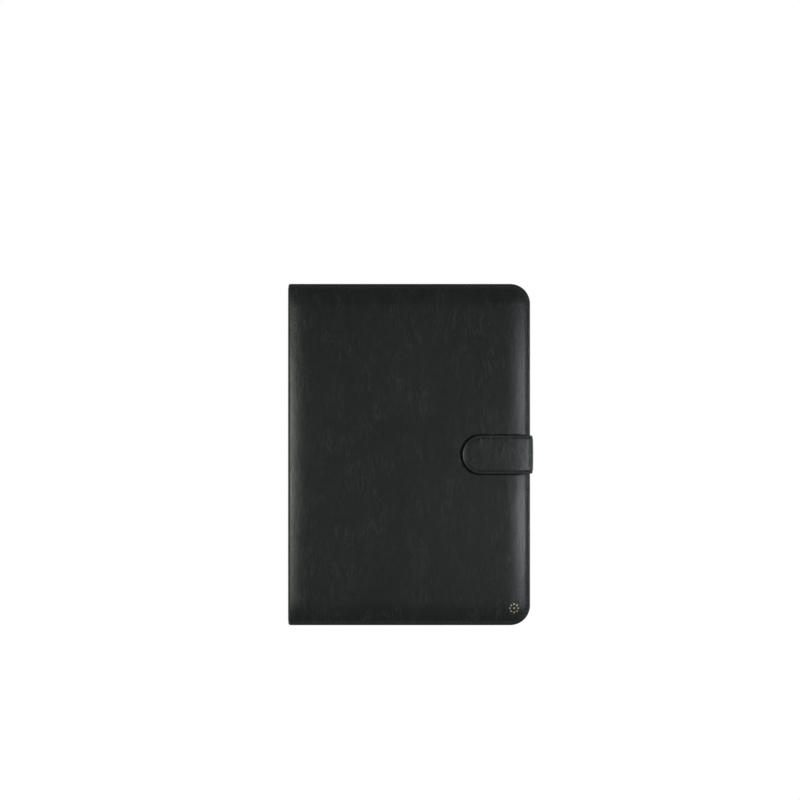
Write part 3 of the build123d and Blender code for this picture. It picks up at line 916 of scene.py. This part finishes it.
# ---- covers ----
def cut_round_hole(piece, lip, low, high):
    """Cuts the camera hole through a piece and gives it a rounded lip.

    low is the outer face's height and high the inner face's.
    """
    steps, centre, radius = 72, CAMERA_HOLE, CAMERA_HOLE_RADIUS
    points = [
        (centre.x + (radius + lip) * c, centre.y + (radius + lip) * s, z)
        for z in (low - 5, high + 5) for c, s in circle(steps)
    ]
    cutter = make_piece("hole_cutter", points, tube_faces(2, steps), [])
    cut = piece.modifiers.new("hole", "BOOLEAN")
    cut.operation, cut.solver, cut.object = "DIFFERENCE", "EXACT", cutter
    graph = bpy.context.evaluated_depsgraph_get()
    mesh = bpy.data.meshes.new_from_object(piece.evaluated_get(graph))
    piece.modifiers.clear()
    piece.data = mesh
    bpy.data.objects.remove(cutter)
    shape = opened(mesh)

    def off_axis(vert):
        return math.hypot(vert.co.x / MM - centre.x, vert.co.y / MM - centre.y)

    wall = [
        face for face in shape.faces
        if all(abs(off_axis(vert) - radius - lip) < 0.02 for vert in face.verts) and abs(face.normal.z) < 0.5
    ]
    bmesh.ops.delete(shape, geom=wall, context="FACES")
    rims = [edge for edge in shape.edges if edge.is_boundary]
    profile = [(lip * (1 - math.sin(a)), lip * (1 - math.cos(a))) for a in np.linspace(0, math.pi / 2, 6)[1:]]
    profile.append((0.0, (high - low) / 2))
    for lower, face_height, inwards in ((True, low, 1), (False, high, -1)):
        rim = [edge for edge in rims if (edge.verts[0].co.z / MM < (low + high) / 2) == lower]
        for out, down in profile:
            made = bmesh.ops.extrude_edge_only(shape, edges=rim)["geom"]
            for vert in (item for item in made if isinstance(item, bmesh.types.BMVert)):
                way = Vector((vert.co.x / MM - centre.x, vert.co.y / MM - centre.y)).normalized()
                flat = centre + way * (radius + out)
                vert.co = (flat.x * MM, flat.y * MM, (face_height + inwards * down) * MM)
            rim = [item for item in made if isinstance(item, bmesh.types.BMEdge)]
    joint = [vert for vert in shape.verts if abs(off_axis(vert) - radius) < 0.01]
    bmesh.ops.remove_doubles(shape, verts=joint, dist=1e-6)
    settled(shape, mesh)


def make_cover(side, coarser, *nodes):
    """A cover's leather and its stitches."""
    skin = CoverSkin(padded=side == "front")
    form = cover_form(skin, coarser * skin.size.mesh_step)
    points, faces, finish_of_face = cover_mesh(skin, form)
    piece = make_piece(f"{side}_cover_leather", points, faces, ["case leather", "edge paint"], finish_of_face)
    if side == "back":
        cut_round_hole(piece, 0.9, back_low.z, back_high.z)
    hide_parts(*nodes)
    spine_blend(piece, side, SKIN_RISE, SKIN_SPAN)
    thread = seam_stitches(
        f"{side}_cover_stitches", "black thread", form, skin.outer, skin.normal, skin.size.seam_inset,
    )
    spine_blend(thread, side, SKIN_RISE, SKIN_SPAN)
    return piece


class CASE_OT_front_cover(bpy.types.Operator):
    """Make the padded front cover's leather, with its sewn edge and half of the spine"""

    bl_idname = "tablet_case.front_cover"
    bl_label = "Front cover leather"

    def execute(self, context):
        piece = make_cover("front", 1.0, "front_leather", "spine_leather", "front_foam")
        return {"FINISHED"}


class CASE_OT_back_cover(bpy.types.Operator):
    """Make the back cover's leather, with its camera hole, sewn edge and half of the spine"""

    bl_idname = "tablet_case.back_cover"
    bl_label = "Back cover leather"

    def execute(self, context):
        make_cover("back", 1.4, "back_leather", "spine_leather")
        return {"FINISHED"}


# ---- lining ----
LINING_INSETS = (0, 0.1, 0.25, 0.5, 0.8, 1.1, 1.4, 1.7, 2.0, 2.5, 3.5, 5.5, 9.0)
LINING_STEP = 2.0
LINING_TURN = 0.5  # radius where the lining turns from the spine to a cover
LINING_RIM = ((0.35, -0.04), (0.75, -0.03), (1.0, 0.05), (1.0, 2.0))  # shares down, and insets


class LiningSheet:
    """Where a lining lies, from half way up the spine's inside and across a cover.

    It is worked out for the front cover, whose lining faces down. u is x on the cover.
    """

    def __init__(self, side):
        self.front = side == "front"
        self.low, self.high = LININGS[side]
        self.face_z = self.low.z if self.front else MIRROR_Z - self.high.z
        self.thick = self.high.z - self.low.z
        self.spine_thick = spine_lining_high.x - spine_lining_low.x
        self.centre_x = spine_lining_high.x + LINING_TURN
        self.centre_z = self.face_z - LINING_TURN
        self.spine_u = self.centre_x - LINING_TURN * math.pi / 2
        self.end_u = self.spine_u - (self.centre_z - MIDDLE_Z)

    def columns(self, last):
        down = np.linspace(self.end_u, self.spine_u - 1.2, 6)[:-1]
        near = np.linspace(self.spine_u - 1.2, self.centre_x + 1.2, 26)
        far = np.linspace(near[-1], last, round((last - near[-1]) / LINING_STEP) + 1)[1:]
        return np.concatenate([down, near, far])

    def at(self, u, y, lift):
        """The visible face raised by lift towards the inside of the case, or sunk if below 0."""
        turn = np.clip((self.centre_x - u) / LINING_TURN, 0, math.pi / 2)
        down = np.maximum(self.spine_u - u, 0)
        on_cover = u >= self.centre_x
        across, up = np.sin(turn), -np.cos(turn)
        x = np.where(on_cover, u, self.centre_x - LINING_TURN * across)
        z = np.where(on_cover, self.face_z, self.centre_z - LINING_TURN * up - down)
        return off_line(x, y, z, across, up, lift, not self.front)

    @staticmethod
    def lift(u, y, inset):
        """Nap waves, and the lining drawn down along its sewn edge."""
        return 0.03 * ripple(u, y, 17, 23, 6) - 0.14 * bump(inset, 1.5, 0.7) - rounded(inset, 0.35)

    def piece(self, name):
        """A closed thin sheet of lining."""
        corner = COVER_CORNER - (RIGHT - self.high.x)
        half = self.high.y - corner
        columns, rows = self.columns(self.high.x - corner), np.linspace(-half, half, 121)
        form = SheetForm(columns, rows, LINING_INSETS, corner, 14)
        u, y, inset = form.flat()
        rim = []
        for part, inset_under in LINING_RIM:
            ring_u, ring_y = form.ring(inset_under).T
            panel = smooth(ring_u, self.spine_u, self.centre_x)
            thick = self.thick * panel + self.spine_thick * (1 - panel) - 0.01
            start = self.lift(ring_u, ring_y, np.zeros(form.count))
            rim.append(self.at(ring_u, ring_y, start * (1 - part) - thick * part))
        points, faces, _ = form.closed(self.at(u, y, self.lift(u, y, inset)), rim)
        return make_piece(name, points, faces, ["microfibre lining"])


class CASE_OT_linings(bpy.types.Operator):
    """Make the microfibre lining of both covers and the inside of the spine"""

    bl_idname = "tablet_case.linings"
    bl_label = "Linings"

    def execute(self, context):
        half_spine = MIDDLE_Z - LININGS["back"][1].z
        for side, (low, high) in LININGS.items():
            piece = LiningSheet(side).piece(f"{side}_lining_cloth")
            if side == "back":
                cut_round_hole(piece, 0.25, low.z, high.z)
            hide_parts(f"{side}_lining", "spine_lining")
            spine_blend(piece, side, LINING_RISE, LINING_SPAN)
            width = high.x - spine_lining_high.x + half_spine
        return {"FINISHED"}


# ---- flat goods: pocket and card slots ----
POCKET_SCOOP = 7.0  # how far the pocket's mouth dips in its middle
POCKET_HEM = 4.6  # from the mouth to the hem's stitches
CARD_STEP = 13.0  # how much higher each card slot stands than the one in front
CARD_HIDDEN = 6.0  # what a slot's sheet hides behind the one in front
CARD_LAYER = (cards_high.z - cards_low.z) / 3
SHEET_ROUND = 0.22


def flat_good(name, xs, bottom, top, rows, face, back):
    """A closed thin sheet of pocket leather that faces down, between two curves, with a rounded rim.

    face gives the height of the visible side at x and y, and back is the hidden side's.
    """
    up = np.concatenate([[0, 0.004, 0.012], np.linspace(0.02, 0.98, rows - 6), [0.988, 0.996, 1]])
    low, high = bottom(xs)[:, None], top(xs)[:, None]
    x = np.repeat(xs[:, None], len(up), axis=1)
    y = low + (high - low) * up[None, :]
    from_edge = np.minimum.reduce([x - xs[0], xs[-1] - x, y - low, high - y])
    visible = np.stack([x, y, face(x, y, high - y) + rounded(from_edge, SHEET_ROUND)], axis=-1).reshape(-1, 3)
    hidden = visible.copy()
    hidden[:, 2] = back
    (columns, count), behind = x.shape, len(visible)
    faces = []
    for i in range(columns - 1):
        for a in range(i * count, i * count + count - 1):
            quad = [a, a + 1, a + count + 1, a + count]
            faces += [quad, [behind + index for index in reversed(quad)]]
    border = [*range(count), *(i * count + count - 1 for i in range(1, columns))]
    border += [(columns - 1) * count + j for j in range(count - 2, -1, -1)]
    border += [i * count for i in range(columns - 2, 0, -1)]
    faces += [[a, behind + a, behind + b, b] for a, b in zip(border, border[1:] + border[:1])]
    return make_piece(name, np.concatenate([visible, hidden]), faces, ["pocket leather"])


def lay_in_cover(piece, node, width, height):
    """Fixes a sheet of pocket leather inside the front cover."""
    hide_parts(node)
    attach(piece, "front_cover")
    height * MM


class CASE_OT_pockets(bpy.types.Operator):
    """Make the document pocket and the card slots inside the front cover"""

    bl_idname = "tablet_case.pockets"
    bl_label = "Pocket and card slots"

    @staticmethod
    def document_pocket():
        """Makes the pocket, and gives back the stitches of its hem."""
        corner = COVER_CORNER - (RIGHT - pocket_high.x)
        middle = (pocket_low.x + pocket_high.x) / 2
        width, height = pocket_high.x - pocket_low.x, pocket_high.y - pocket_low.y
        scoop_radius = ((width / 2) ** 2 + POCKET_SCOOP**2) / (2 * POCKET_SCOOP)
        corner_x = pocket_high.x - corner
        straight = np.linspace(pocket_low.x, corner_x, 110)
        round_x = corner_x + corner * np.sin(np.linspace(0, math.pi / 2, 16)[1:])
        xs = np.concatenate([pocket_low.x + np.array([0, 0.08, SHEET_ROUND]), straight[1:], round_x])

        def bottom(x):
            over = np.clip(x - corner_x, 0, corner)
            return pocket_low.y + corner - np.sqrt(np.maximum(corner**2 - over**2, 0))

        def top(x):
            return pocket_high.y - POCKET_SCOOP + scoop_radius - np.sqrt(scoop_radius**2 - (x - middle) ** 2)

        def face(x, y, to_mouth):
            hem = 0.20 * (1 - smooth(to_mouth, 5.6, 6.4)) - 0.16 * bump(to_mouth, POCKET_HEM, 0.45)
            sewn = 0.10 * bump(np.minimum(pocket_high.x - x, y - pocket_low.y), 0.6, 0.7)
            return pocket_low.z - hem + sewn + 0.05 * ripple(x, y, 33, 41, 8)

        pocket = flat_good("document_pocket_leather", xs, bottom, top, 90, face, pocket_high.z - 0.02)
        lay_in_cover(pocket, "document_pocket", width, height)
        hem = np.linspace(pocket_low.x + 3, pocket_high.x - 3, 60)
        hem = np.column_stack([hem, top(hem) - POCKET_HEM])
        return line_stitches(hem, lambda x, y: face(x, y, top(x) - y))

    @staticmethod
    def card_slot(number, bottom, top, height):
        """Makes one card slot, and gives back the stitches at its two ends."""
        low = bottom if number == 1 else bottom - CARD_HIDDEN
        ends = np.array([0, 0.08])
        xs = np.concatenate([
            cards_low.x + ends, np.linspace(cards_low.x + 0.25, cards_high.x - 0.25, 60),
            cards_high.x - ends[::-1],
        ])

        def face(x, y, to_mouth):
            fold = 0.10 * bump(to_mouth, 2.2, 0.35) - 0.10 * (1 - smooth(to_mouth, 0.4, 1.6))
            return height + fold + 0.04 * ripple(x, y, 21, 9, 8 + number)

        def level(y):
            return lambda x: np.full_like(x, y)

        back = height + CARD_LAYER + 0.08
        slot = flat_good(f"card_slot_{number}", xs, level(low), level(top), 40, face, back)
        lay_in_cover(slot, "card_slots", cards_high.x - cards_low.x, top - low)
        return [
            line_stitches([(x, bottom + 1.2), (x, top - 1.0)], lambda x, y: height)
            for x in (cards_low.x + 1.6, cards_high.x - 1.6)
        ]

    def execute(self, context):
        threads = [self.document_pocket()]
        mouths = [cards_high.y - CARD_STEP * k for k in (2, 1, 0)]
        for k, (bottom, top) in enumerate(zip([cards_low.y, *mouths], mouths)):
            threads += self.card_slot(k + 1, bottom, top, cards_low.z + k * CARD_LAYER)
        foot = cards_low.y + 1.6
        threads.append(
            line_stitches([(cards_low.x + 2.5, foot), (cards_high.x - 2.5, foot)], lambda x, y: cards_low.z)
        )
        thread = make_piece("pocket_stitches", *joined(threads), ["black thread"])
        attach(thread, "front_cover")
        return {"FINISHED"}


# ---- strap ----
class StrapLine:
    """The strap's path: its inner face from half way up the side, over the cover to the tip."""

    def __init__(self):
        self.turn = 0.6  # radius where it turns over the cover
        self.level_z = tab_high.z - STRAP_THICK
        height, slope = self.on_cover(np.array(0.0))
        self.sweep = math.pi / 2 - math.atan(slope)
        self.centre_x = side_lining_low.x - self.turn
        self.corner_x = self.centre_x + self.turn * math.cos(self.sweep)
        self.corner_z = float(height) - self.turn * math.sin(self.sweep)
        self.start_z = (side_low.z + side_high.z) / 2
        self.side = self.corner_z - self.start_z  # u where the bend starts
        self.cover = self.side + self.turn * self.sweep  # and where it ends
        self.length = self.cover + self.corner_x - (STRAP_TIP + STRAP_HALF)  # u at the round tip's centre

    def on_cover(self, along):
        """Height of the inner face over the cover, and its slope: it rises to lie level."""
        left = np.clip(1 - along / STRAP_SLOPE, 0, 1)
        start, end = STRAP_TURN
        t = np.clip((along - start) / (end - start), 0, 1)
        steep = np.maximum(start - along, 0) + (end - start) * (0.5 - t + t**3 - t**4 / 2)
        height = self.level_z - STRAP_EDGE_SLOPE / 2 * STRAP_SLOPE * left**2 - STRAP_TURN_SLOPE * steep
        return height, STRAP_EDGE_SLOPE * left + STRAP_TURN_SLOPE * (1 - 3 * t**2 + 2 * t**3)

    def at(self, u, y, lift):
        """The point over the path at u, lifted off the inner face."""
        along = u - self.cover
        turn = np.clip((u - self.side) / self.turn, 0, self.sweep)
        z_cover, slope = self.on_cover(np.maximum(along, 0))
        steep = np.sqrt(1 + slope**2)
        across = np.where(along > 0, slope / steep, np.cos(turn))
        up = np.where(along > 0, 1 / steep, np.sin(turn))
        x = np.where(along > 0, self.corner_x - along, self.centre_x + self.turn * np.cos(turn))
        z = np.where(along > 0, z_cover, self.corner_z + self.turn * np.sin(turn))
        return off_line(x, y, np.where(u < self.side, self.start_z + u, z), across, up, lift)

    def outer(self, u, y, inset):
        return self.at(u, y, strap_lift(u, y, inset))

    def normal(self, u):
        """Outward normal at u."""
        return unit(self.at(u, np.zeros_like(u), 1.0) - self.at(u, np.zeros_like(u), 0.0))

    def columns(self):
        side = np.linspace(0, self.side - 0.4, 10)[:-1]
        bend = np.linspace(self.side - 0.4, self.cover + 0.6, 22)[:-1]
        return np.concatenate([side, bend, np.linspace(self.cover + 0.6, self.length, 150)])


def strap_lift(u, y, inset, phase=None):
    """Height of the strap's outer face above its inner face: it slopes down to its edge."""
    lift = STRAP_EDGE + STRAP_ROUND - rounded(inset, STRAP_ROUND)
    lift = lift + STRAP_RIM_SLOPE * np.minimum(inset, STRAP_SEAM - 0.05)
    lift = lift - STRAP_GROOVE * bump(inset, STRAP_SEAM, STRAP_GROOVE_WIDTH)
    if phase is not None:
        hole = np.maximum(np.cos(2 * math.pi * phase), 0) ** 2
        lift = lift - STRAP_HOLE * hole * bump(inset, STRAP_SEAM, STRAP_HOLE_WIDTH)
    past_seam = inset - STRAP_SEAM - 0.25
    lift = lift + STRAP_CROWN * (1 - (1 - np.clip(past_seam / STRAP_CROWN_WIDTH, 0, 1)) ** 2)
    bent = (0.5 + 0.5 * smooth(u, *WRINKLES_DEEPEN)) * smooth(u, *WRINKLES_START)
    bent = bent * (1 - smooth(u, *WRINKLES_END))
    wrinkles = 0.13 * bent * creases(u, y, 2.5, 15, 7) + 0.03 * (1 + ripple(u, y, 13, 9, 9))
    return lift - smooth(past_seam, 0, 2.95) * wrinkles


STRAP_INSETS = (
    0, 0.05, 0.13, 0.3, 0.55, 0.85, 1.1, 1.3, 1.46, 1.63, 1.8, 1.97, 2.14, 2.4, 2.9,
    4.0, 5.8, 8.2, 10.5, 12.6,
)
LEATHER_FINISHES = ("strap leather", "edge paint", "rubbed leather")
# rims of the upper half: shares of the way down the leather's edge, heights of the backing's, and insets
UPPER_LEATHER_RIM = ((0.3, -0.05), (0.6, -0.05), (0.9, 0.0), (1.0, 0.1), (1.0, 3.0))
UPPER_BACKING_RIM = ((0.4, 0.12), (0.15, 0.12), (0.0, 0.3), (0.0, 3.0))
# rims of the lower half: insets and heights
LOWER_LEATHER_RIM = ((-0.05, 0.81), (-0.05, 0.63), (0, 0.66), (0.1, 0.6), (3, 0.6))
LOWER_BACKING_RIM = ((0.12, 0.4), (0.12, 0.15), (0.3, 0.0), (3, 0.0))
PAINTED_STEPS = 3  # rows of faces down the edge that are painted
ROOT_TURN = 1.0  # radius where the strap turns up out of the back cover's seam
ROOT_HALF = 0.5  # half the strap's thickness inside the seam


class LowerStrap:
    """The strap's lower half, from the back cover's seam up to the side's middle."""

    def __init__(self, end_z):
        insets = np.array(STRAP_INSETS + (STRAP_HALF,))
        self.inset = np.concatenate([insets, insets[-2::-1]])
        self.y = np.concatenate([STRAP_HALF - insets, insets[-2::-1] - STRAP_HALF])
        root = FOLDS["strap_root_fold"]
        flat = [(x, root.z, 0.0) for x in np.linspace(RIGHT - 1.2, root.x - ROOT_TURN, 6)[:-1]]
        bend = [
            (root.x - ROOT_TURN * (1 - math.sin(a)), root.z + ROOT_TURN * (1 - math.cos(a)), a)
            for a in np.linspace(0, math.pi / 2, 14)
        ]
        side = [(root.x, z, math.pi / 2) for z in np.linspace(root.z + ROOT_TURN, end_z, 9)[1:]]
        self.places = np.array(flat + bend + side)
        self.travelled = measured(self.places[:, :2])[0]

    def piece(self, name, high, rim, finish_names):
        """A layer of the strap: its outer face is high, and its rim goes in under that face."""
        last, count = len(self.y) - 1, len(self.y) + 2 * len(rim)
        rim = [(inset - STRAP_HALF, lift) for inset, lift in rim]
        rim += [(-y, lift) for y, lift in reversed(rim)]
        loops = []
        for (x, z, angle), distance in zip(self.places, self.travelled):
            full = smooth(distance, 0.9, 3.2)
            half = ROOT_HALF + (STRAP_THICK / 2 - ROOT_HALF) * full
            lifts = high(np.full_like(self.y, distance - self.travelled[-1]), self.y, self.inset)
            y, lift = np.array([*zip(self.y, lifts), *rim]).T
            lift = lift * (2 * half / STRAP_THICK) - half
            loops.append(off_line(x, y * (1 - 0.1 * (1 - full)), z, math.sin(angle), -math.cos(angle), lift))
        row = np.zeros(count, int)
        if len(finish_names) > 1:
            # the rim's rings take the paler leather, a painted highlight as well as wear
            row[:RUBBED_HIGHLIGHT_RINGS] = row[last - RUBBED_HIGHLIGHT_RINGS : last] = LEATHER_FINISHES.index("rubbed leather")
            row[last : last + PAINTED_STEPS] = row[-PAINTED_STEPS:] = LEATHER_FINISHES.index("edge paint")
        faces, finish_of_face = tube_faces(len(loops), count), [*np.tile(row, len(loops) - 1), 0, 0]
        return make_piece(name, np.concatenate(loops), faces, finish_names, finish_of_face)


def upper_strap(line, form, phase):
    """The strap's half from the side's middle over the front cover to the tip: leather and backing."""
    u, y, inset = form.flat()
    high = strap_lift(*form.ring(0).T, np.zeros(form.count))
    rim = [
        line.at(*form.ring(ring_inset).T, high * (1 - part) + LINING_SHARE * part)
        for part, ring_inset in UPPER_LEATHER_RIM
    ]
    points, faces, top_count = form.closed(line.at(u, y, strap_lift(u, y, inset, phase)), rim)
    finish_of_face = np.zeros(len(faces), int)
    # the rim's rings take the paler leather, a painted highlight as well as wear
    finish_of_face[: RUBBED_HIGHLIGHT_RINGS * (form.count - 1)] = LEATHER_FINISHES.index("rubbed leather")
    painted_end = top_count + PAINTED_STEPS * (form.count - 1)
    finish_of_face[top_count:painted_end] = LEATHER_FINISHES.index("edge paint")
    leather = make_piece("strap_upper_leather", points, faces, LEATHER_FINISHES, finish_of_face)
    top = line.at(u, y, LINING_SHARE - 0.02 - 0.15 * np.clip(0.25 - inset, 0, 1))
    top[: form.count] = line.at(*form.ring(0.12).T, LINING_SHARE - 0.05)
    rim = [line.at(*form.ring(ring_inset).T, lift) for lift, ring_inset in UPPER_BACKING_RIM]
    points, faces, _ = form.closed(top, rim)
    return leather, make_piece("strap_upper_backing", points, faces, ["strap backing"])


class CASE_OT_strap(bpy.types.Operator):
    """Make the strap: its outer leather and inner face, in two halves that meet on its side"""

    bl_idname = "tablet_case.strap"
    bl_label = "Strap"

    def execute(self, context):
        line = StrapLine()
        form = SheetForm(line.columns(), [0.0], STRAP_INSETS, STRAP_HALF, 15)
        inset, pitch = in_mm().strap_seam_inset, stitch_sizes(small=True)[0]
        fold = (line.side + line.cover) / 2
        folds = (fold, measured(form.ring(inset))[0][-1] - fold)
        thread = seam_stitches(
            "strap_stitches", "strap thread", form, line.outer, line.normal, inset, folds,
            small=True, reach=0.5,
        )
        phase = form.phase(inset, pitch, len(form.flat()[0]), folds)
        leather, backing = upper_strap(line, form, phase)
        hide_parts("strap_tab_leather", "strap_side_leather", "strap_tab_core")
        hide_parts("strap_tab_lining", "strap_side_lining")
        half = LowerStrap(line.start_z)
        low_leather = half.piece("strap_lower_leather", strap_lift, LOWER_LEATHER_RIM, LEATHER_FINISHES)
        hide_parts("strap_side_leather")
        low_backing = half.piece(
            "strap_lower_backing", lambda u, y, inset: 0.58 - 0.03 * (inset < 0.1), LOWER_BACKING_RIM,
            ["strap backing"],
        )
        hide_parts("strap_side_lining")
        for piece, slot, fold, way in (
            (thread, "leather", "strap_tip_fold", (-1, 1)), (leather, "leather", "strap_tip_fold", (-1, 1)),
            (backing, "strap_backing", "strap_tip_fold", (-1, 1)),
            (low_leather, "leather", "strap_root_fold", (1, 1)),
            (low_backing, "strap_backing", "strap_root_fold", (1, 1)),
        ):
            fold_blend(piece, fold, way, *STRAP_SPAN)
        return {"FINISHED"}


# ---- foil mark ----
DOT_RINGS = ((0.55, 0.055), (0.85, 0.045), (1.0, 0.015), (1.02, -0.05))  # radii and heights
DOT_STEPS = 20
DOTS_ROUND = 8
MARK_INSET = np.array((12.1, 12.9))  # from the open side and the lower end to the mark's middle


class CASE_OT_foil_mark(bpy.types.Operator):
    """Make the small plain mark of foil dots near the cover's lower corner"""

    bl_idname = "tablet_case.foil_mark"
    bl_label = "Foil mark"

    def execute(self, context):
        skin = CoverSkin(padded=True)
        centre = np.array([RIGHT, -TOP]) + MARK_INSET * (-1, 1)
        places = [centre, *(centre + skin.size.foil_ring * circle(DOTS_ROUND))]
        shape = [np.zeros((1, 2)), *(radius * circle(DOT_STEPS) for radius, _ in DOT_RINGS)]
        shape = np.concatenate(shape) * skin.size.foil_dot / 2
        lift = np.array([DOT_RINGS[0][1], *np.repeat([height for _, height in DOT_RINGS], DOT_STEPS)])
        tube = tube_faces(len(DOT_RINGS), DOT_STEPS)
        # a fan round the middle point stands in for the tube's first cap
        faces = [[0, 1 + a, 1 + (a + 1) % DOT_STEPS] for a in range(DOT_STEPS)]
        faces += [[1 + index for index in face] for face in tube[:-2] + tube[-1:]]
        parts = []
        for spot in places:
            x, y = (spot + shape).T
            points = skin.outer(x, y, self.corner_inset(x, y))
            points[:, 2] += lift
            parts.append((points, faces))
        piece = make_piece("foil_mark", *joined(parts), ["gold foil"])
        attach(piece, "front_cover")
        return {"FINISHED"}

    @staticmethod
    def corner_inset(x, y):
        """Distance from the edge, round the cover's corner where the place is beside it."""
        inset = np.minimum(RIGHT - x, TOP - np.abs(y))
        past_x = np.maximum(x - (RIGHT - COVER_CORNER), 0)
        past_y = np.maximum(np.abs(y) - (TOP - COVER_CORNER), 0)
        return np.where(inset < COVER_CORNER, COVER_CORNER - np.hypot(past_x, past_y), inset)


# ---- stage, in metres ----
COOL = (0.94, 0.97, 1.0)
# each lamp: its name, the setting of its power, its share of that, tint, place, aim and size
LAMPS = (
    ("upper right light", "right_light", 0.155, COOL,
     (0.217, 0.062, 0.32), (0.085, 0.06, 0.02), (0.04, 0.016)),
    ("middle right light", "right_light", 0.045, COOL,
     (0.217, 0.008, 0.32), (0.085, 0.008, 0.02), (0.04, 0.01)),
    ("lower right light", "right_light", 0.265, COOL,
     (0.217, -0.067, 0.32), (0.085, -0.065, 0.02), (0.04, 0.012)),
    ("low right light", "low_light", 1.0, (0.97, 0.98, 1.0),
     (0.52, 0.0, 0.085), (0.092, 0.0, 0.018), (0.30, 0.05)),
    ("soft light", "soft_light", 1.0, (1.0, 1.0, 0.98),
     (0.038, -0.075, 0.9), (0.038, -0.075, 0.0), (0.228, 0.35)),
    ("left light", "left_light", 1.15, (1.0, 1.06, 0.94),
     (-0.335, -0.013, 0.47), (-0.09, -0.013, 0.02), (0.22, 0.05)),
)
FLOOR_DEPTH = -0.075
FLOOR_HALF = 40.0
SKY_TINT = (0.95, 1.0, 1.01)
LENS, SENSOR = 200.0, 36.0  # these two in millimetres
VIEW_WIDTH = 0.6048  # what the camera sees across, at the height it is focused on
VIEW_CENTRE = (-0.0068, 0.04125, 0.0172)


class CASE_OT_stage(bpy.types.Operator):
    """Make the floor, the lights and the camera"""

    bl_idname = "tablet_case.stage"
    bl_label = "Floor, lights and camera"

    @staticmethod
    def added(name, data, spot):
        """A new object of the scene."""
        made = bpy.data.objects.new(name, data)
        bpy.context.scene.collection.objects.link(made)
        made.location = spot
        return made

    def floor(self, brightness):
        """A white floor, which can't be seen from below."""
        mesh = bpy.data.meshes.new("floor")
        square = FLOOR_HALF * np.array([(-1, -1), (1, -1), (1, 1), (-1, 1)])
        mesh.from_pydata([(x, y, FLOOR_DEPTH) for x, y in square], [], [(0, 1, 2, 3)])
        material = bpy.data.materials.new("floor white")
        start = blank(material)
        below = start.node("ShaderNodeNewGeometry", None, None, "Backfacing")
        light = start.node("ShaderNodeEmission", None, {"Color": (1, 1, 1), "Strength": brightness})
        clear = start.node("ShaderNodeBsdfTransparent")
        shade = start.node("ShaderNodeMixShader", None, {0: below, 1: light, 2: clear})
        start.node("ShaderNodeOutputMaterial", None, {"Surface": shade})
        mesh.materials.append(material)
        self.added("floor", mesh, (0, 0, 0))

    @staticmethod
    def sky(top, side):
        """Even light from all round, a little cool, with white behind the case."""
        world = bpy.context.scene.world = bpy.data.worlds.new("studio")
        start = blank(world)
        direction = start.node("ShaderNodeTexCoord", None, None, "Generated")
        height = start.node("ShaderNodeSeparateXYZ", None, {0: direction}, 2)
        ramp = start.node("ShaderNodeValToRGB", None, {0: height})
        stops = ramp.socket.node.color_ramp.elements
        for _ in range(2):
            stops.new(0.5)
        for stop, position, brightness in zip(stops, (0.0, 0.25, 0.75, 1.0), (side, side, top, top)):
            stop.position, stop.color = position, (*tinted(SKY_TINT, brightness), 1)
        seen = start.node("ShaderNodeLightPath", None, None, "Is Camera Ray")
        shown = {"Color": seen.mix(ramp, (1.0, 1.0, 1.0)), "Strength": 1.0}
        background = start.node("ShaderNodeBackground", None, shown)
        start.node("ShaderNodeOutputWorld", None, {"Surface": background})

    def lamp(self, name, energy, tint, spot, aim, size):
        data = bpy.data.lights.new(name, "AREA")
        data.shape = "RECTANGLE"
        data.energy, data.color = energy, tint
        data.size, data.size_y = size
        lamp = self.added(name, data, spot)
        lamp.rotation_euler = (Vector(aim) - Vector(spot)).to_track_quat("-Z", "Y").to_euler()
        lamp.visible_camera = False

    def execute(self, context):
        scene, stage = context.scene, context.scene.case_stage
        self.floor(stage.floor)
        self.sky(stage.overhead, stage.horizon)
        for name, setting, part, *looks in LAMPS:
            self.lamp(name, part * getattr(stage, setting), *looks)
        data = bpy.data.cameras.new("camera")
        data.lens, data.sensor_width = LENS, SENSOR
        data.clip_start, data.clip_end = 0.05, 60.0
        x, y, z = VIEW_CENTRE
        scene.camera = self.added("camera", data, (x, y, z + VIEW_WIDTH * LENS / SENSOR))
        scene.view_settings.view_transform = "Standard"
        return {"FINISHED"}


OPERATORS = (
    CASE_OT_stage, CASE_OT_inner_parts, CASE_OT_front_cover, CASE_OT_back_cover,
    CASE_OT_linings, CASE_OT_pockets, CASE_OT_strap, CASE_OT_foil_mark,
)
GROUPS = {"case_sizes": CaseSizes, "case_colours": CaseColours, "case_stage": CaseStage}


class CASE_PT_tools(bpy.types.Panel):
    """The case's pieces, sizes and colours"""

    bl_idname = "CASE_PT_tools"
    bl_label = "Tablet case"
    bl_space_type = "VIEW_3D"
    bl_region_type = "UI"
    bl_category = "Tablet case"

    def draw(self, context):
        for maker in OPERATORS:
            self.layout.operator(maker.bl_idname)
        for name, group in GROUPS.items():
            box = self.layout.box()
            for key in group.__annotations__:
                box.prop(getattr(context.scene, name), key)


def register():
    for group in (*GROUPS.values(), *OPERATORS, CASE_PT_tools):
        bpy.utils.register_class(group)
    for name, group in GROUPS.items():
        setattr(bpy.types.Scene, name, PointerProperty(type=group))


def unregister():
    for name in GROUPS:
        delattr(bpy.types.Scene, name)
    for group in (CASE_PT_tools, *reversed(OPERATORS), *GROUPS.values()):
        bpy.utils.unregister_class(group)


def main():
    register()
    for maker in OPERATORS:
        category, name = maker.bl_idname.split(".")
        getattr(getattr(bpy.ops, category), name)()


if __name__ == "__main__":
    main()
